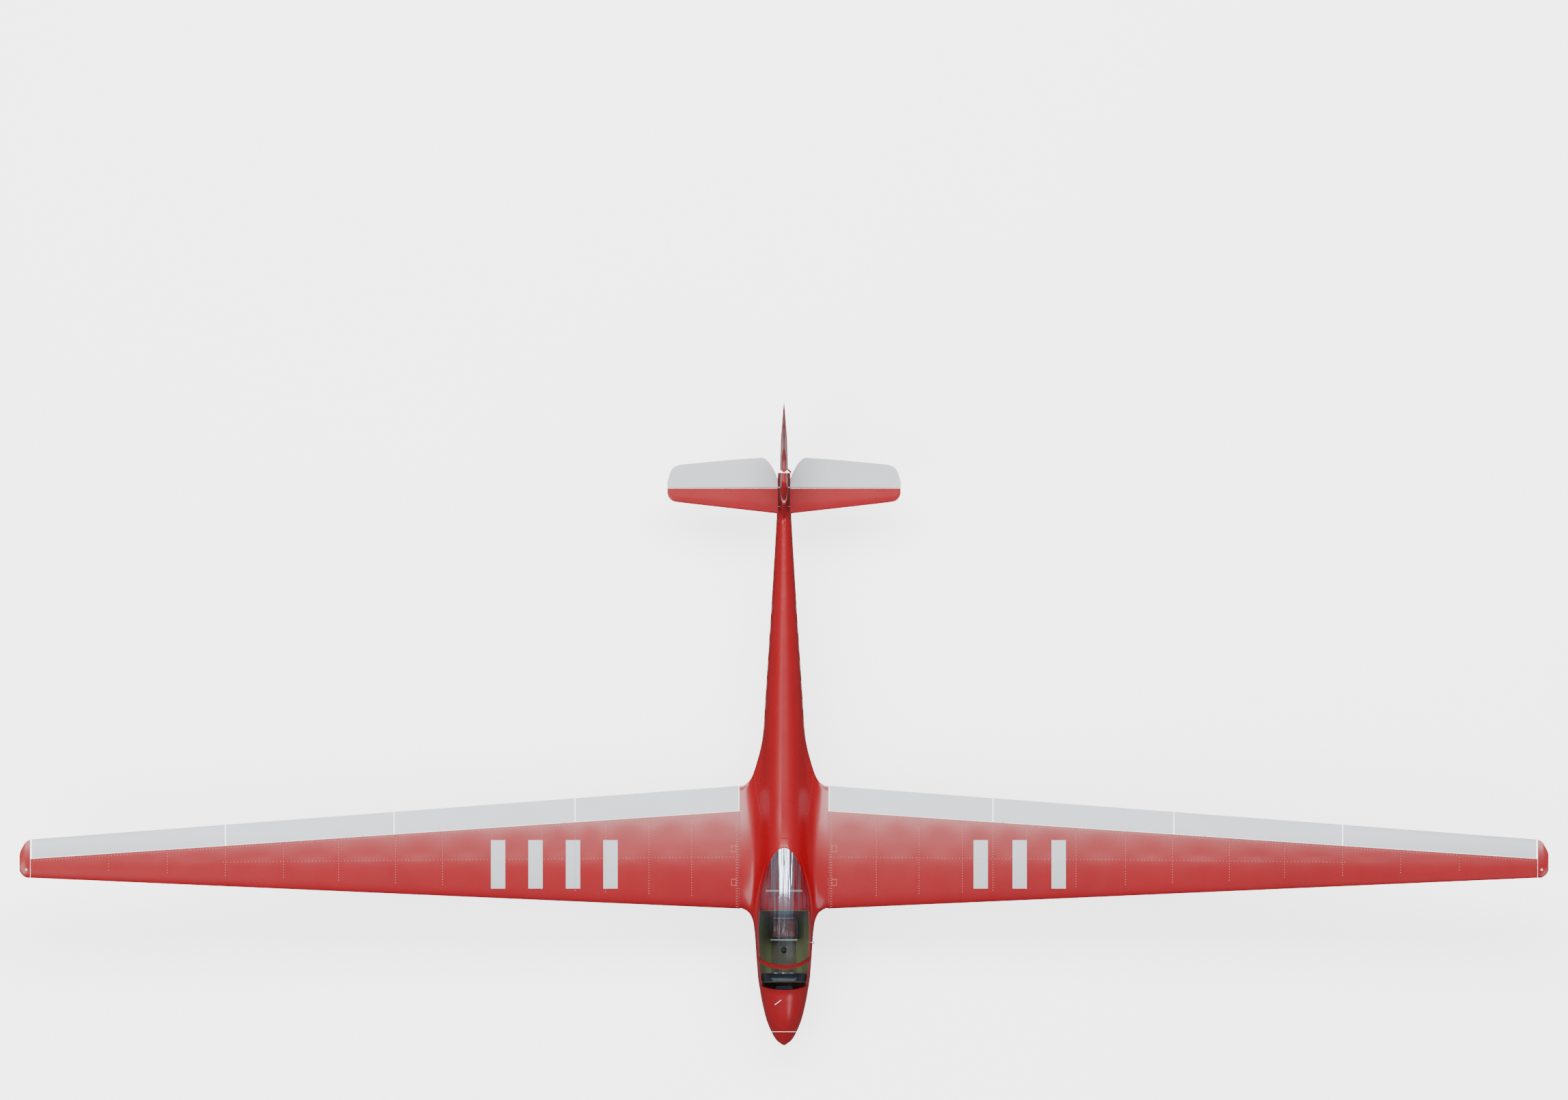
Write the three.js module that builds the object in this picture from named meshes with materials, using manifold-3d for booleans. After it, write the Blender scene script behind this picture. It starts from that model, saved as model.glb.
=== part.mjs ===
// A radio-controlled scale glider, as an assembly of separate pieces.
// Millimetres, +Z up, nose towards -Y, the aircraft's left wing towards +X.
// The origin is on the ground, under the middle of the aircraft's box.

import * as THREE from "three";
import * as BufferGeometryUtils from "three/addons/utils/BufferGeometryUtils.js";
import Module from "manifold-3d";

const wasm = await Module();
wasm.setup();

// ---------------------------------------------------------------- driving dimensions

const gap = 0.4; // between pieces that lie against each other
const wall = 2; // of the moulded fuselage

// Fuselage stations: [y, half width, top with the canopy, bottom, height of the widest point].
const hullStations = [
  [-630, 4, 70, 57, 64],
  [-622, 14.5, 84, 47, 65],
  [-606, 24.5, 103, 40.3, 68],
  [-580, 35, 123.5, 36, 72],
  [-545, 43.5, 141.5, 31, 76],
  [-528, 46.5, 150, 29.5, 80],
  [-500, 51, 177, 26.5, 88],
  [-475, 53, 201, 25, 94],
  [-455, 54.5, 213.5, 24.3, 97],
  [-425, 56.5, 223, 23.7, 100],
  [-400, 57.8, 226.5, 23.6, 101],
  [-340, 57.5, 217.5, 25.5, 101],
  [-290, 55, 203.5, 28.5, 101],
  [-235, 52, 187, 33, 102],
  [-156, 47.5, 179.6, 38.9, 104],
  [-50, 42.5, 170.4, 46.9, 106],
  [60, 36, 160.8, 55, 107],
  [220, 25.5, 148.7, 65.7, 107],
  [350, 17.5, 138, 74.3, 106.5],
  [420, 13.5, 133, 78.5, 107],
  [491.4, 8.5, 128, 85.8, 107],
];
const shoulderPinch = 0.08; // how much the upper half leans in towards its top
const bellyFullness = 2.2; // exponent of the lower half's rounded outline

// The seam between the hull and what stands on it: [y, z].
const seamLine = [
  [-610, 76.4],
  [-514, 107.2],
  [-468, 119.8],
  [-427, 128.8],
  [-390, 139],
  [-347, 150.9],
  [-220, 187],
];
const capSeamY = -605;
const windscreenFront = { low: [-513.5, 0], high: [-522, 151] };
const hoop = { topY: -478, topZ: 198, bottomY: -461, bottomZ: 124, width: 4 };
const windscreenRail = 3.6;
const canopyRail = 8.5;
const canopyBow = 3.6;
const bulkheadY = -366;

// Wing: straight lines along the span, measured at the root seam and the tip seam.
const wing = {
  rootX: 87,
  tipX: 1478.6,
  halfSpan: 1500,
  leading: [-363.5, -303],
  hinge: [-171.6, -265.3],
  trailing: [-122.5, -227.8],
  height: [118.9, 215.4],
  incidence: [0.07, 0.035],
  thickness: 0.14,
  camber: 0.03,
  camberPlace: 0.4,
  pivotPlace: 0.35,
};
const surfaceSplits = [89, 410, 765, 1096, 1477.2]; // flaps inboard, ailerons outboard
const surfaceGap = 0.8;
const flapSlant = 0.62; // slope of the flap's front face, so that it can go down
const aileronSlant = 0.42;
const ribPlaces = [181, 265, 350, 410, 476, 573, 670, 762, 874, 982, 1096, 1210, 1325, 1440];
const sparY = -276;
const joiner = { y: -297, radius: 5, reach: 262 };
const wingServo = { length: 26, width: 24, height: 9.4 };
const servoPlaces = { flap: { x: 430, y: -234 }, aileron: { x: 826, y: -250 } };
const hornRod = { radius: 1.1, drop: 5 };

// Tail.
const hingePostY = 491.4;
const rudderGap = 0.8;
const tailplane = { z: 133, rootX: 12, tipX: 229, hingeY: 462, leadRoot: 411.4, leadTip: 436, thick: 9 };
const elevatorHorn = 14;

// Wheel and skid.
const wheel = { y: -284, z: 24, radius: 24, width: 18, rim: 13.7 };
const wheelSlot = { front: -311, back: -257, half: 13, top: 52 };

// ---------------------------------------------------------------- colours

const paint = {
  red: [0xb5161a, 0.28, 0.0],
  white: [0xd9dbe0, 0.35, 0.0],
  olive: [0x2e2a1c, 0.7, 0.0],
  cockpit: [0x5b6044, 0.75, 0.0],
  leather: [0x5a3a30, 0.7, 0.0],
  black: [0x191919, 0.6, 0.0],
  glass: [0xb9c4cc, 0.08, 0.0],
  steel: [0x9a9c9e, 0.35, 1.0],
  aluminium: [0xb4b6b6, 0.4, 1.0],
  wood: [0xc79f68, 0.65, 0.0],
  carbon: [0x202124, 0.35, 0.0],
  green: [0x34443a, 0.6, 0.0],
  rubber: [0x1b1a19, 0.9, 0.0],
  lead: [0x6c6f73, 0.55, 1.0],
  blue: [0x274a86, 0.45, 0.0],
};

// ---------------------------------------------------------------- geometry helpers

const glider = new THREE.Group();

function add(name, geometry, colour) {
  const [hex, roughness, metalness] = paint[colour];
  const material = new THREE.MeshStandardMaterial({ color: hex, roughness, metalness });
  const mesh = new THREE.Mesh(geometry, material);
  mesh.name = name;
  glider.add(mesh);
}

// The value of a table [[place, value, ...], ...] at a place, on a smooth curve through its rows.
function along(table, place, column = 1) {
  const last = table.length - 1;
  const at = Math.min(Math.max(place, table[0][0]), table[last][0]);
  let row = 0;
  while (row < last - 1 && at > table[row + 1][0]) row += 1;
  const slope = (i) => {
    const before = Math.max(i - 1, 0);
    const after = Math.min(i + 1, last);
    return (table[after][column] - table[before][column]) / (table[after][0] - table[before][0]);
  };
  const span = table[row + 1][0] - table[row][0];
  const t = (at - table[row][0]) / span;
  const rise = table[row + 1][column] - table[row][column];
  const a = slope(row) * span - rise;
  const b = rise - slope(row + 1) * span;
  return table[row][column] + t * rise + t * (1 - t) * ((1 - t) * a + t * b);
}

function mix(pair, t) {
  return pair[0] + (pair[1] - pair[0]) * t;
}

function signedVolume(positions, index) {
  let total = 0;
  const corner = [new THREE.Vector3(), new THREE.Vector3(), new THREE.Vector3()];
  for (let i = 0; i < index.length; i += 3) {
    corner.forEach((v, k) => v.fromArray(positions, index[i + k] * 3));
    total += corner[0].dot(corner[1].cross(corner[2]));
  }
  return total;
}

// A closed skin over rings of points with equal counts, with a flat end on the first and last ring.
function loft(rings) {
  const positions = [];
  const index = [];
  const count = rings[0].length;
  rings.forEach((ring) => ring.forEach((point) => positions.push(...point)));
  for (let r = 0; r < rings.length - 1; r += 1) {
    for (let i = 0; i < count; i += 1) {
      const a = r * count + i;
      const b = r * count + ((i + 1) % count);
      index.push(a, b, b + count, a, b + count, a + count);
    }
  }
  const ends = [
    [0, true],
    [rings.length - 1, false],
  ];
  for (const [r, first] of ends) {
    const middle = positions.length / 3;
    const ring = rings[r];
    for (let axis = 0; axis < 3; axis += 1) {
      positions.push(ring.reduce((sum, point) => sum + point[axis], 0) / count);
    }
    for (let i = 0; i < count; i += 1) {
      const a = r * count + i;
      const b = r * count + ((i + 1) % count);
      index.push(...(first ? [middle, b, a] : [middle, a, b]));
    }
  }
  if (signedVolume(positions, index) < 0) {
    for (let i = 0; i < index.length; i += 3) {
      [index[i], index[i + 1]] = [index[i + 1], index[i]];
    }
  }
  const geometry = new THREE.BufferGeometry();
  geometry.setAttribute("position", new THREE.Float32BufferAttribute(positions, 3));
  geometry.setIndex(index);
  return geometry;
}

function solidOf(geometry) {
  const bare = geometry.clone();
  bare.deleteAttribute("normal");
  bare.deleteAttribute("uv");
  const merged = BufferGeometryUtils.mergeVertices(bare, 1e-4);
  const vertProperties = new Float32Array(merged.attributes.position.array);
  const triVerts = new Uint32Array(merged.index.array);
  return new wasm.Manifold(new wasm.Mesh({ numProp: 3, vertProperties, triVerts }));
}

function geometryOf(solid) {
  const mesh = solid.getMesh();
  const geometry = new THREE.BufferGeometry();
  const positions = new Float32Array(mesh.vertProperties);
  geometry.setAttribute("position", new THREE.BufferAttribute(positions, 3));
  geometry.setIndex(new THREE.BufferAttribute(new Uint32Array(mesh.triVerts), 1));
  return geometry;
}

function joined(solids) {
  return solids.reduce((whole, next) => whole.add(next));
}

function box(x0, x1, y0, y1, z0, z1) {
  const geometry = new THREE.BoxGeometry(x1 - x0, y1 - y0, z1 - z0);
  return geometry.translate((x0 + x1) / 2, (y0 + y1) / 2, (z0 + z1) / 2);
}

// A side outline of [y, z] points, extruded across the aircraft between two x values.
function sideSlab(points, x0, x1) {
  const shape = new THREE.Shape(points.map(([y, z]) => new THREE.Vector2(y, z)));
  const geometry = new THREE.ExtrudeGeometry(shape, { depth: x1 - x0, bevelEnabled: false });
  const turn = new THREE.Matrix4().makeBasis(
    new THREE.Vector3(0, 1, 0),
    new THREE.Vector3(0, 0, 1),
    new THREE.Vector3(1, 0, 0),
  );
  return geometry.applyMatrix4(turn).translate(x0, 0, 0);
}

// A round bar from one point to another.
function bar(from, to, radius, sides = 10) {
  const start = new THREE.Vector3(...from);
  const way = new THREE.Vector3(...to).sub(start);
  const geometry = new THREE.CylinderGeometry(radius, radius, way.length(), sides);
  const turn = new THREE.Quaternion().setFromUnitVectors(
    new THREE.Vector3(0, 1, 0),
    way.clone().normalize(),
  );
  return geometry.applyQuaternion(turn).translate(...start.addScaledVector(way, 0.5).toArray());
}

// A body of revolution about an axis along X, from [radius, x] points.
function turned(profile, y, z, sides = 28) {
  const points = profile.map(([radius, x]) => new THREE.Vector2(radius, x));
  const geometry = new THREE.LatheGeometry(points, sides);
  return geometry.rotateZ(-Math.PI / 2).translate(0, y, z);
}

// ---------------------------------------------------------------- fuselage form

function hullAt(y, inset) {
  return {
    half: along(hullStations, y, 1) - inset,
    top: along(hullStations, y, 2) - inset,
    bottom: along(hullStations, y, 3) + inset,
    waist: along(hullStations, y, 4),
  };
}

function hullRing(y, inset, count) {
  const { half, top, bottom, waist } = hullAt(y, inset);
  const ring = [];
  for (let i = 0; i < count; i += 1) {
    const angle = (i / count) * Math.PI * 2;
    const up = Math.sin(angle);
    const out = Math.cos(angle);
    if (up >= 0) {
      ring.push([half * out * (1 - shoulderPinch * up), y, waist + (top - waist) * up]);
    } else {
      const power = 2 / bellyFullness;
      const x = half * Math.sign(out) * Math.abs(out) ** power;
      ring.push([x, y, waist - (waist - bottom) * Math.abs(up) ** power]);
    }
  }
  return ring;
}

function hullLoft(places, inset, count) {
  return solidOf(loft(places.map((y) => hullRing(y, inset, count))));
}

function between(from, to) {
  const inside = hullStations.map((row) => row[0]).filter((y) => y > from + 4 && y < to - 4);
  return [from, ...inside, to];
}

// Height of the seam at y, straight between its points.
function seamAt(y) {
  let row = 0;
  while (row < seamLine.length - 2 && y > seamLine[row + 1][0]) row += 1;
  const [from, to] = [seamLine[row], seamLine[row + 1]];
  return mix([from[1], to[1]], (y - from[0]) / (to[0] - from[0]));
}

// Points on the seam between two places, raised by a lift.
function seamPoints(fromY, toY, lift) {
  const inner = seamLine.map((row) => row[0]).filter((y) => y > fromY + 0.5 && y < toY - 0.5);
  return [fromY, ...inner, toY].map((y) => [y, seamAt(y) + lift]);
}

// The region above the seam, raised by a lift, as a slab right across the aircraft.
function aboveSeam(fromY, toY, lift, topZ = 260) {
  return [...seamPoints(fromY, toY, lift), [toY, topZ], [fromY, topZ]];
}

const acrossHull = 80;
const slab = (points, half = acrossHull) => solidOf(sideSlab(points, -half, half));

// The hoop's plane in the side view: y at a height, moved aft by an offset.
function hoopY(z, offset) {
  const t = (z - hoop.bottomZ) / (hoop.topZ - hoop.bottomZ);
  return hoop.bottomY + (hoop.topY - hoop.bottomY) * t + offset;
}

function windscreenFrontY(z, offset) {
  const t = (z - 107.2) / (windscreenFront.high[1] - 107.2);
  return windscreenFront.low[0] + (windscreenFront.high[0] - windscreenFront.low[0]) * t + offset;
}

// ---------------------------------------------------------------- wing form

function wingFrame(x) {
  const t = (Math.abs(x) - wing.rootX) / (wing.tipX - wing.rootX);
  return {
    leading: mix(wing.leading, t),
    hinge: mix(wing.hinge, t),
    trailing: mix(wing.trailing, t),
    height: mix(wing.height, t),
    incidence: mix(wing.incidence, t),
  };
}

// Four-digit section: u runs from the leading edge (0) to the trailing edge (1).
function sectionHeight(u, side) {
  const { thickness, camber, camberPlace } = wing;
  const root = 0.2969 * Math.sqrt(u) - 0.126 * u;
  const half = 5 * thickness * (root - 0.3516 * u ** 2 + 0.2843 * u ** 3 - 0.1036 * u ** 4);
  const ahead = u < camberPlace;
  const bend = ahead
    ? (camber / camberPlace ** 2) * (2 * camberPlace * u - u * u)
    : (camber / (1 - camberPlace) ** 2) * (1 - 2 * camberPlace + 2 * camberPlace * u - u * u);
  return bend + side * half;
}

// Height of the wing's upper (side 1) or lower (side -1) surface at x and y.
function wingZ(x, y, side, inset = 0) {
  const frame = wingFrame(x);
  const chord = frame.trailing - frame.leading;
  const u = Math.min(Math.max((y - frame.leading) / chord, 0), 1);
  const tilt = frame.incidence * (wing.pivotPlace - u) * chord;
  return frame.height + sectionHeight(u, side) * chord + tilt - side * inset;
}

const foreSteps = [0, 0.012, 0.05, 0.12, 0.24, 0.42, 0.68, 1];
const ribSteps = [0, 0.05, 0.24, 0.6, 1];

// The fixed part of the wing section at x, from the nose to just ahead of the hinge line.
function wingRing(x, inset, noseInset, rearInset, steps) {
  const frame = wingFrame(x);
  const from = frame.leading + noseInset;
  const to = frame.hinge - rearInset;
  const ring = [];
  for (const t of [...steps].reverse()) {
    ring.push([x, mix([from, to], t), wingZ(x, mix([from, to], t), 1, inset)]);
  }
  const lower = noseInset > 0 ? steps : steps.slice(1);
  for (const t of lower) {
    ring.push([x, mix([from, to], t), wingZ(x, mix([from, to], t), -1, inset)]);
  }
  return ring;
}

const wingStations = [wing.rootX, 410, 765, 1096, wing.tipX];

function wingSolid(side, inset, noseInset, rearInset, fromX, toX, steps = foreSteps) {
  const places = [fromX, ...wingStations.slice(1, -1), toX];
  const rings = places.map((x) => wingRing(side * x, inset, noseInset, rearInset, steps));
  return solidOf(loft(rings));
}

// ---------------------------------------------------------------- fuselage pieces

const hullPlaces = between(capSeamY + gap, hingePostY);
const insidePlaces = [-607, -580, -545, -528, -500, -475, -455, -400, -340, -250, -156, 60, 220, 350, 494];

// The room inside the hull at a distance from its outer face.
const hullInside = (inset) => hullLoft(insidePlaces, inset, 20);
const noseBayEnd = bulkheadY;

// The moulding that carries the wing root: it grows into the hull ahead of and behind the wing.
function rootFairing(side) {
  const steps = [0, 0.3, 0.6, 0.85, 1];
  const rings = steps.map((t) => {
    const spread = t * t;
    const x = wing.rootX - gap - 46 * t;
    const front = wing.leading[0] - 72 * spread;
    const back = wing.trailing[0] + 66 * spread;
    const points = [];
    const round = [0, 0.08, 0.25, 0.5, 0.75, 1];
    const at = (u, up) => {
      const y = mix([front, back], u);
      const body = Math.sqrt(Math.max(Math.sin(Math.PI * Math.min(u, 1)), 0));
      const own = wingZ(wing.rootX, Math.min(Math.max(y, wing.leading[0]), wing.trailing[0]), up);
      const grown = own + (up > 0 ? 10 : -30) * spread * body;
      return [side * x, y, grown];
    };
    round.slice().reverse().forEach((u) => points.push(at(u, 1)));
    round.slice(1, -1).forEach((u) => points.push(at(u, -1)));
    return points;
  });
  return solidOf(loft(rings));
}

// The fin as horizontal slices: [z, y of its front edge, half thickness].
const finSlices = [
  [100, 405, 8],
  [140, 405, 8],
  [153, 412, 7.8],
  [190, 425.5, 7.2],
  [241, 441.5, 6.2],
  [270, 451.5, 5.5],
  [290, 461.5, 4.8],
  [300, 471.5, 3.8],
  [305.5, 482, 2],
];

function finSolid() {
  const rings = finSlices.map(([z, front, half]) => {
    const depth = hingePostY - front;
    return [
      [0, front, z],
      [half * 0.62, front + depth * 0.1, z],
      [half, front + depth * 0.4, z],
      [half, hingePostY, z],
      [-half, hingePostY, z],
      [-half, front + depth * 0.4, z],
      [-half * 0.62, front + depth * 0.1, z],
    ];
  });
  return solidOf(loft(rings));
}

function joinerBar(radius, reach) {
  const rise = (wing.height[1] - wing.height[0]) / (wing.tipX - wing.rootX);
  const middle = wing.height[0] - rise * wing.rootX + 6;
  const end = middle + rise * reach;
  const port = solidOf(bar([-0.5, joiner.y, middle], [reach, joiner.y, end], radius));
  const starboard = solidOf(bar([0.5, joiner.y, middle], [-reach, joiner.y, end], radius));
  return port.add(starboard);
}

// The room beside the rudder post that the rudder's horn swings in.
const hornNotch = [4, 18, 477, 500, 103.4, 108.4];

function fuselageShell() {
  const fairingOutline = [
    [-316, 25],
    [-260, 22],
    [-255, 21],
    [-181, 38.2],
    [-181, 52],
    [-316, 52],
  ];
  const stubs = solidOf(box(-11.6, 11.6, 418, 460, tailplane.z - 4, tailplane.z + 4));
  let shell = joined([
    hullLoft(hullPlaces, 0, 28),
    rootFairing(1),
    rootFairing(-1),
    slab(fairingOutline, 17),
    finSolid(),
    stubs,
  ]);
  const inside = hullInside(wall);
  const deckPlate = slab(aboveSeam(noseBayEnd, -200, -3));
  shell = shell.subtract(inside.subtract(deckPlate));
  shell = shell.subtract(slab(aboveSeam(capSeamY - 3, -225, 0)));
  const well = box(-wheelSlot.half, wheelSlot.half, wheelSlot.front, wheelSlot.back, 10, wheelSlot.top);
  shell = shell.subtract(solidOf(well));
  shell = shell.subtract(joinerBar(joiner.radius + gap, 140));
  const hornSlot = box(-5.6, 3, 448, 478, 108, tailplane.z + 2.6);
  const torqueBore = bar([-20, tailplane.hingeY, tailplane.z], [20, tailplane.hingeY, tailplane.z], 3);
  const rodSlot = box(9.6, 16, 388, 500, 102, 105.2);
  const rearPin = bar([-20, 425, tailplane.z], [20, 425, tailplane.z], 1.5 + gap);
  [hornSlot, torqueBore, rodSlot, rearPin, box(...hornNotch)].forEach((cut) => {
    shell = shell.subtract(solidOf(cut));
  });
  return shell;
}

add("fuselage_shell", geometryOf(fuselageShell()), "red");

function finPost() {
  const notch = solidOf(box(...hornNotch));
  return hullLoft([482, 485, 488], wall + gap, 20).subtract(notch);
}

add("fin_post", geometryOf(finPost()), "wood");

function noseCap() {
  const rings = [-630, -622, -606, capSeamY].map((y) => hullRing(y, 0, 28));
  const cut = solidOf(box(-2.6, 2.6, -622, -600, 30, 56));
  return solidOf(loft(rings)).subtract(cut);
}

add("nose_cap", geometryOf(noseCap()), "red");

const towPivot = { y: -612, z: 51 };

function towHook() {
  const outline = [
    [-614.5, 53],
    [-609, 53.5],
    [-608.5, 46],
    [-610.5, 40],
    [-615, 37.5],
    [-618, 39],
    [-617.5, 40.5],
    [-613.5, 41.5],
    [-612.2, 46],
  ];
  return sideSlab(outline, -1.8, 1.8);
}

add("tow_hook", towHook(), "steel");

// A piece of skin between two insets of the hull, cut by a side-view outline.
function skinPiece(thickness, outline, count = 28) {
  const outer = hullLoft(between(-606, -205), 0, count);
  const inner = hullLoft(between(-610, -200), thickness, count);
  return outer.subtract(inner).intersect(slab(outline));
}

function noseDeck() {
  const front = capSeamY + gap;
  const seamPart = seamPoints(front, windscreenFront.low[0], gap);
  const outline = [...seamPart, [windscreenFrontY(160, -gap), 160], [front, 160]];
  return skinPiece(wall, outline);
}

add("nose_deck", geometryOf(noseDeck()), "red");

// Where the hoop's plane, moved aft by an offset, meets the line at a lift above the seam.
function hoopFoot(lift, offset) {
  let y = hoop.bottomY;
  for (let pass = 0; pass < 6; pass += 1) y = hoopY(seamAt(y) + lift, offset);
  return y;
}

function windscreenHoop() {
  const frontY = windscreenFront.low[0] + gap;
  const footY = hoopFoot(gap, -1);
  const rail = [
    ...seamPoints(frontY, footY, gap),
    [hoopFoot(windscreenRail, -1), seamAt(footY) + windscreenRail],
    [frontY, seamAt(frontY) + windscreenRail],
  ];
  const bow = [
    [hoopY(115, -hoop.width), 115],
    [hoopY(115, 0), 115],
    [hoopY(240, 0), 240],
    [hoopY(240, -hoop.width), 240],
  ];
  const clear = slab(aboveSeam(-530, -440, gap));
  return skinPiece(3, rail).add(skinPiece(3, bow).intersect(clear));
}

add("windscreen_hoop", geometryOf(windscreenHoop()), "red");

function windscreenGlass() {
  const lift = windscreenRail + gap;
  const frontY = windscreenFrontY(seamAt(windscreenFront.low[0]) + lift, gap);
  const backY = hoopFoot(lift, -hoop.width - gap);
  const outline = [
    ...seamPoints(frontY, backY, lift),
    [hoopY(230, -hoop.width - gap), 230],
    [windscreenFrontY(230, gap), 230],
  ];
  return skinPiece(1.5, outline);
}

add("windscreen_glass", geometryOf(windscreenGlass()), "glass");

// The region above the seam's lifted line, behind the hoop's moved plane and ahead of a tail end.
function behindHoop(lift, offset, toY) {
  const startY = hoopFoot(lift, offset);
  const line = seamPoints(startY, toY, lift);
  return [...line, [toY, 200], [hoopY(260, offset), 260]];
}

function canopyFrame() {
  const ring = slab(behindHoop(gap, gap, -227));
  const opening = slab(behindHoop(canopyRail, gap + canopyBow, -236));
  const zone = aboveSeam(-520, -200, 0);
  return skinPiece(3.4, zone).intersect(ring).subtract(opening);
}

add("canopy_frame", geometryOf(canopyFrame()), "red");

function canopyGlass() {
  return skinPiece(1.5, behindHoop(canopyRail + gap, canopyBow + 2 * gap, -237.5));
}

add("canopy_glass", geometryOf(canopyGlass()), "glass");

function canopyLatch() {
  return bar([54, -430, 133], [59.8, -430, 133], 2, 12);
}

add("canopy_latch", canopyLatch(), "steel");

// ---------------------------------------------------------------- cockpit

const tubFloorZ = 46;

function cockpitTub() {
  const outer = hullInside(wall + gap);
  const inner = hullInside(wall + gap + 1.6);
  const outerZone = slab([
    [-508, tubFloorZ - 1.6],
    [bulkheadY - gap, tubFloorZ - 1.6],
    [bulkheadY - gap, seamAt(bulkheadY) - 2],
    [-427, seamAt(-427) - 2],
    [-508, seamAt(-508) - 2],
  ]);
  const innerZone = slab([
    [-506.4, tubFloorZ],
    [bulkheadY - gap - 1.6, tubFloorZ],
    [bulkheadY - gap - 1.6, 200],
    [-506.4, 200],
  ]);
  return outer.intersect(outerZone).subtract(inner.intersect(innerZone));
}

add("cockpit_tub", geometryOf(cockpitTub()), "cockpit");

function pilotSeat() {
  const outline = [
    [-424, tubFloorZ + gap],
    [-371, tubFloorZ + gap],
    [-369.5, 128],
    [-373.5, 131],
    [-379, 70],
    [-386, 62],
    [-418, 64],
    [-424, 61],
  ];
  return sideSlab(outline, -27.5, 27.5);
}

add("pilot_seat", pilotSeat(), "leather");

function instrumentPanel() {
  const outline = [
    [-505.6, tubFloorZ + 8],
    [-500, tubFloorZ + 8],
    [-490, 118],
    [-490, 132],
    [-497, 146],
    [-505.6, 148],
  ];
  const zone = slab(outline);
  return hullInside(wall + 4.6).intersect(zone);
}

add("instrument_panel", geometryOf(instrumentPanel()), "black");

function controlStick() {
  const profile = [
    [0, 0],
    [6, 0],
    [6, 2.5],
    [2, 5],
    [1.6, 30],
    [3.2, 33],
    [3.4, 46],
    [2.4, 50],
    [0, 51],
  ];
  const points = profile.map(([radius, z]) => new THREE.Vector2(radius, z));
  const geometry = new THREE.LatheGeometry(points, 12).rotateX(Math.PI / 2);
  return geometry.translate(0, -445, tubFloorZ + gap);
}

add("control_stick", controlStick(), "black");

// ---------------------------------------------------------------- equipment

function rounded(x0, x1, y0, y1, z0, z1, corner) {
  const shape = new THREE.Shape();
  shape.moveTo(x0 + corner, y0);
  shape.lineTo(x1 - corner, y0);
  shape.absarc(x1 - corner, y0 + corner, corner, -Math.PI / 2, 0);
  shape.lineTo(x1, y1 - corner);
  shape.absarc(x1 - corner, y1 - corner, corner, 0, Math.PI / 2);
  shape.lineTo(x0 + corner, y1);
  shape.absarc(x0 + corner, y1 - corner, corner, Math.PI / 2, Math.PI);
  shape.lineTo(x0, y0 + corner);
  shape.absarc(x0 + corner, y0 + corner, corner, Math.PI, Math.PI * 1.5);
  const options = { depth: z1 - z0, bevelEnabled: false, curveSegments: 3 };
  return new THREE.ExtrudeGeometry(shape, options).translate(0, 0, z0);
}

add("nose_ballast", rounded(-14, 14, -601, -566, 54, 82, 5), "lead");
add("battery_pack", rounded(-17, 17, -561, -515, 41, 68, 4), "blue");
add("servo_tray", box(-38, 38, -250, -150, 75, 78), "wood");
add("receiver", rounded(-17, 17, -176, -154, 78 + gap, 90, 2), "black");

// A servo box with its output boss, its middle at x and y on the tray.
function traySlot(x, y) {
  const body = solidOf(box(x - 10, x + 10, y - 20, y + 20, 78 + gap, 98));
  const boss = solidOf(bar([x, y + 10, 97], [x, y + 10, 99.6], 4.5, 12));
  return geometryOf(body.add(boss));
}

const servoY = -222;
const armY = servoY + 10;
const elevatorServo = { x: -15.4, reach: 12.2 };
const rudderServo = { x: 24, reach: -12.5 };
add("elevator_servo", traySlot(elevatorServo.x, servoY), "black");
add("rudder_servo", traySlot(rudderServo.x, servoY), "black");

function servoArm({ x, reach }) {
  const hub = solidOf(bar([x, armY, 100], [x, armY, 102], 4, 12));
  const side = Math.sign(reach);
  const ends = [x, x + reach + side * 1.6];
  const arm = solidOf(box(Math.min(...ends), Math.max(...ends), armY - 1.8, armY + 1.8, 100, 102));
  return geometryOf(hub.add(arm));
}

add("elevator_servo_arm", servoArm(elevatorServo), "white");
add("rudder_servo_arm", servoArm(rudderServo), "white");

const elevatorRodX = elevatorServo.x + elevatorServo.reach;
const rudderRodX = rudderServo.x + rudderServo.reach;
const rodLift = 103.6;
const elevatorRodEnd = [elevatorRodX, 460, tailplane.z - elevatorHorn];
const rudderRodEnd = [rudderRodX, 489.5, rodLift];
add("elevator_pushrod", bar([elevatorRodX, armY - 4, rodLift], elevatorRodEnd, 1, 8), "carbon");
add("rudder_pushrod", bar([rudderRodX, armY - 4, rodLift], rudderRodEnd, 1, 8), "steel");

function pitotProbe() {
  const deck = (x) => {
    const hull = hullAt(-546, 0);
    const lean = Math.abs(x) / hull.half;
    return hull.top - (hull.top - hull.waist) * lean * lean * 0.62;
  };
  return bar([-6, -543, deck(6) + 2], [-18, -552, deck(18) + 9], 0.9, 8);
}

add("pitot_probe", pitotProbe(), "steel");

// ---------------------------------------------------------------- ground gear

// The skid as slices: [y, top, bottom, half width at the top, half width at the bottom].
const skidSlices = [
  [-602, 38.2, 36, 4, 3],
  [-585, 36, 27.5, 12, 9],
  [-560, 32, 19.5, 17, 11],
  [-530, 29, 13.6, 19, 12],
  [-495, 25.8, 9.8, 20, 12],
  [-440, 23.6, 9.2, 20, 12],
  [-397, 23.2, 9.2, 20, 12],
  [-350, 24.6, 12, 20, 12],
  [-317, 25.2, 15.2, 19, 11.5],
];
const soleThickness = 2.4;

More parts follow.
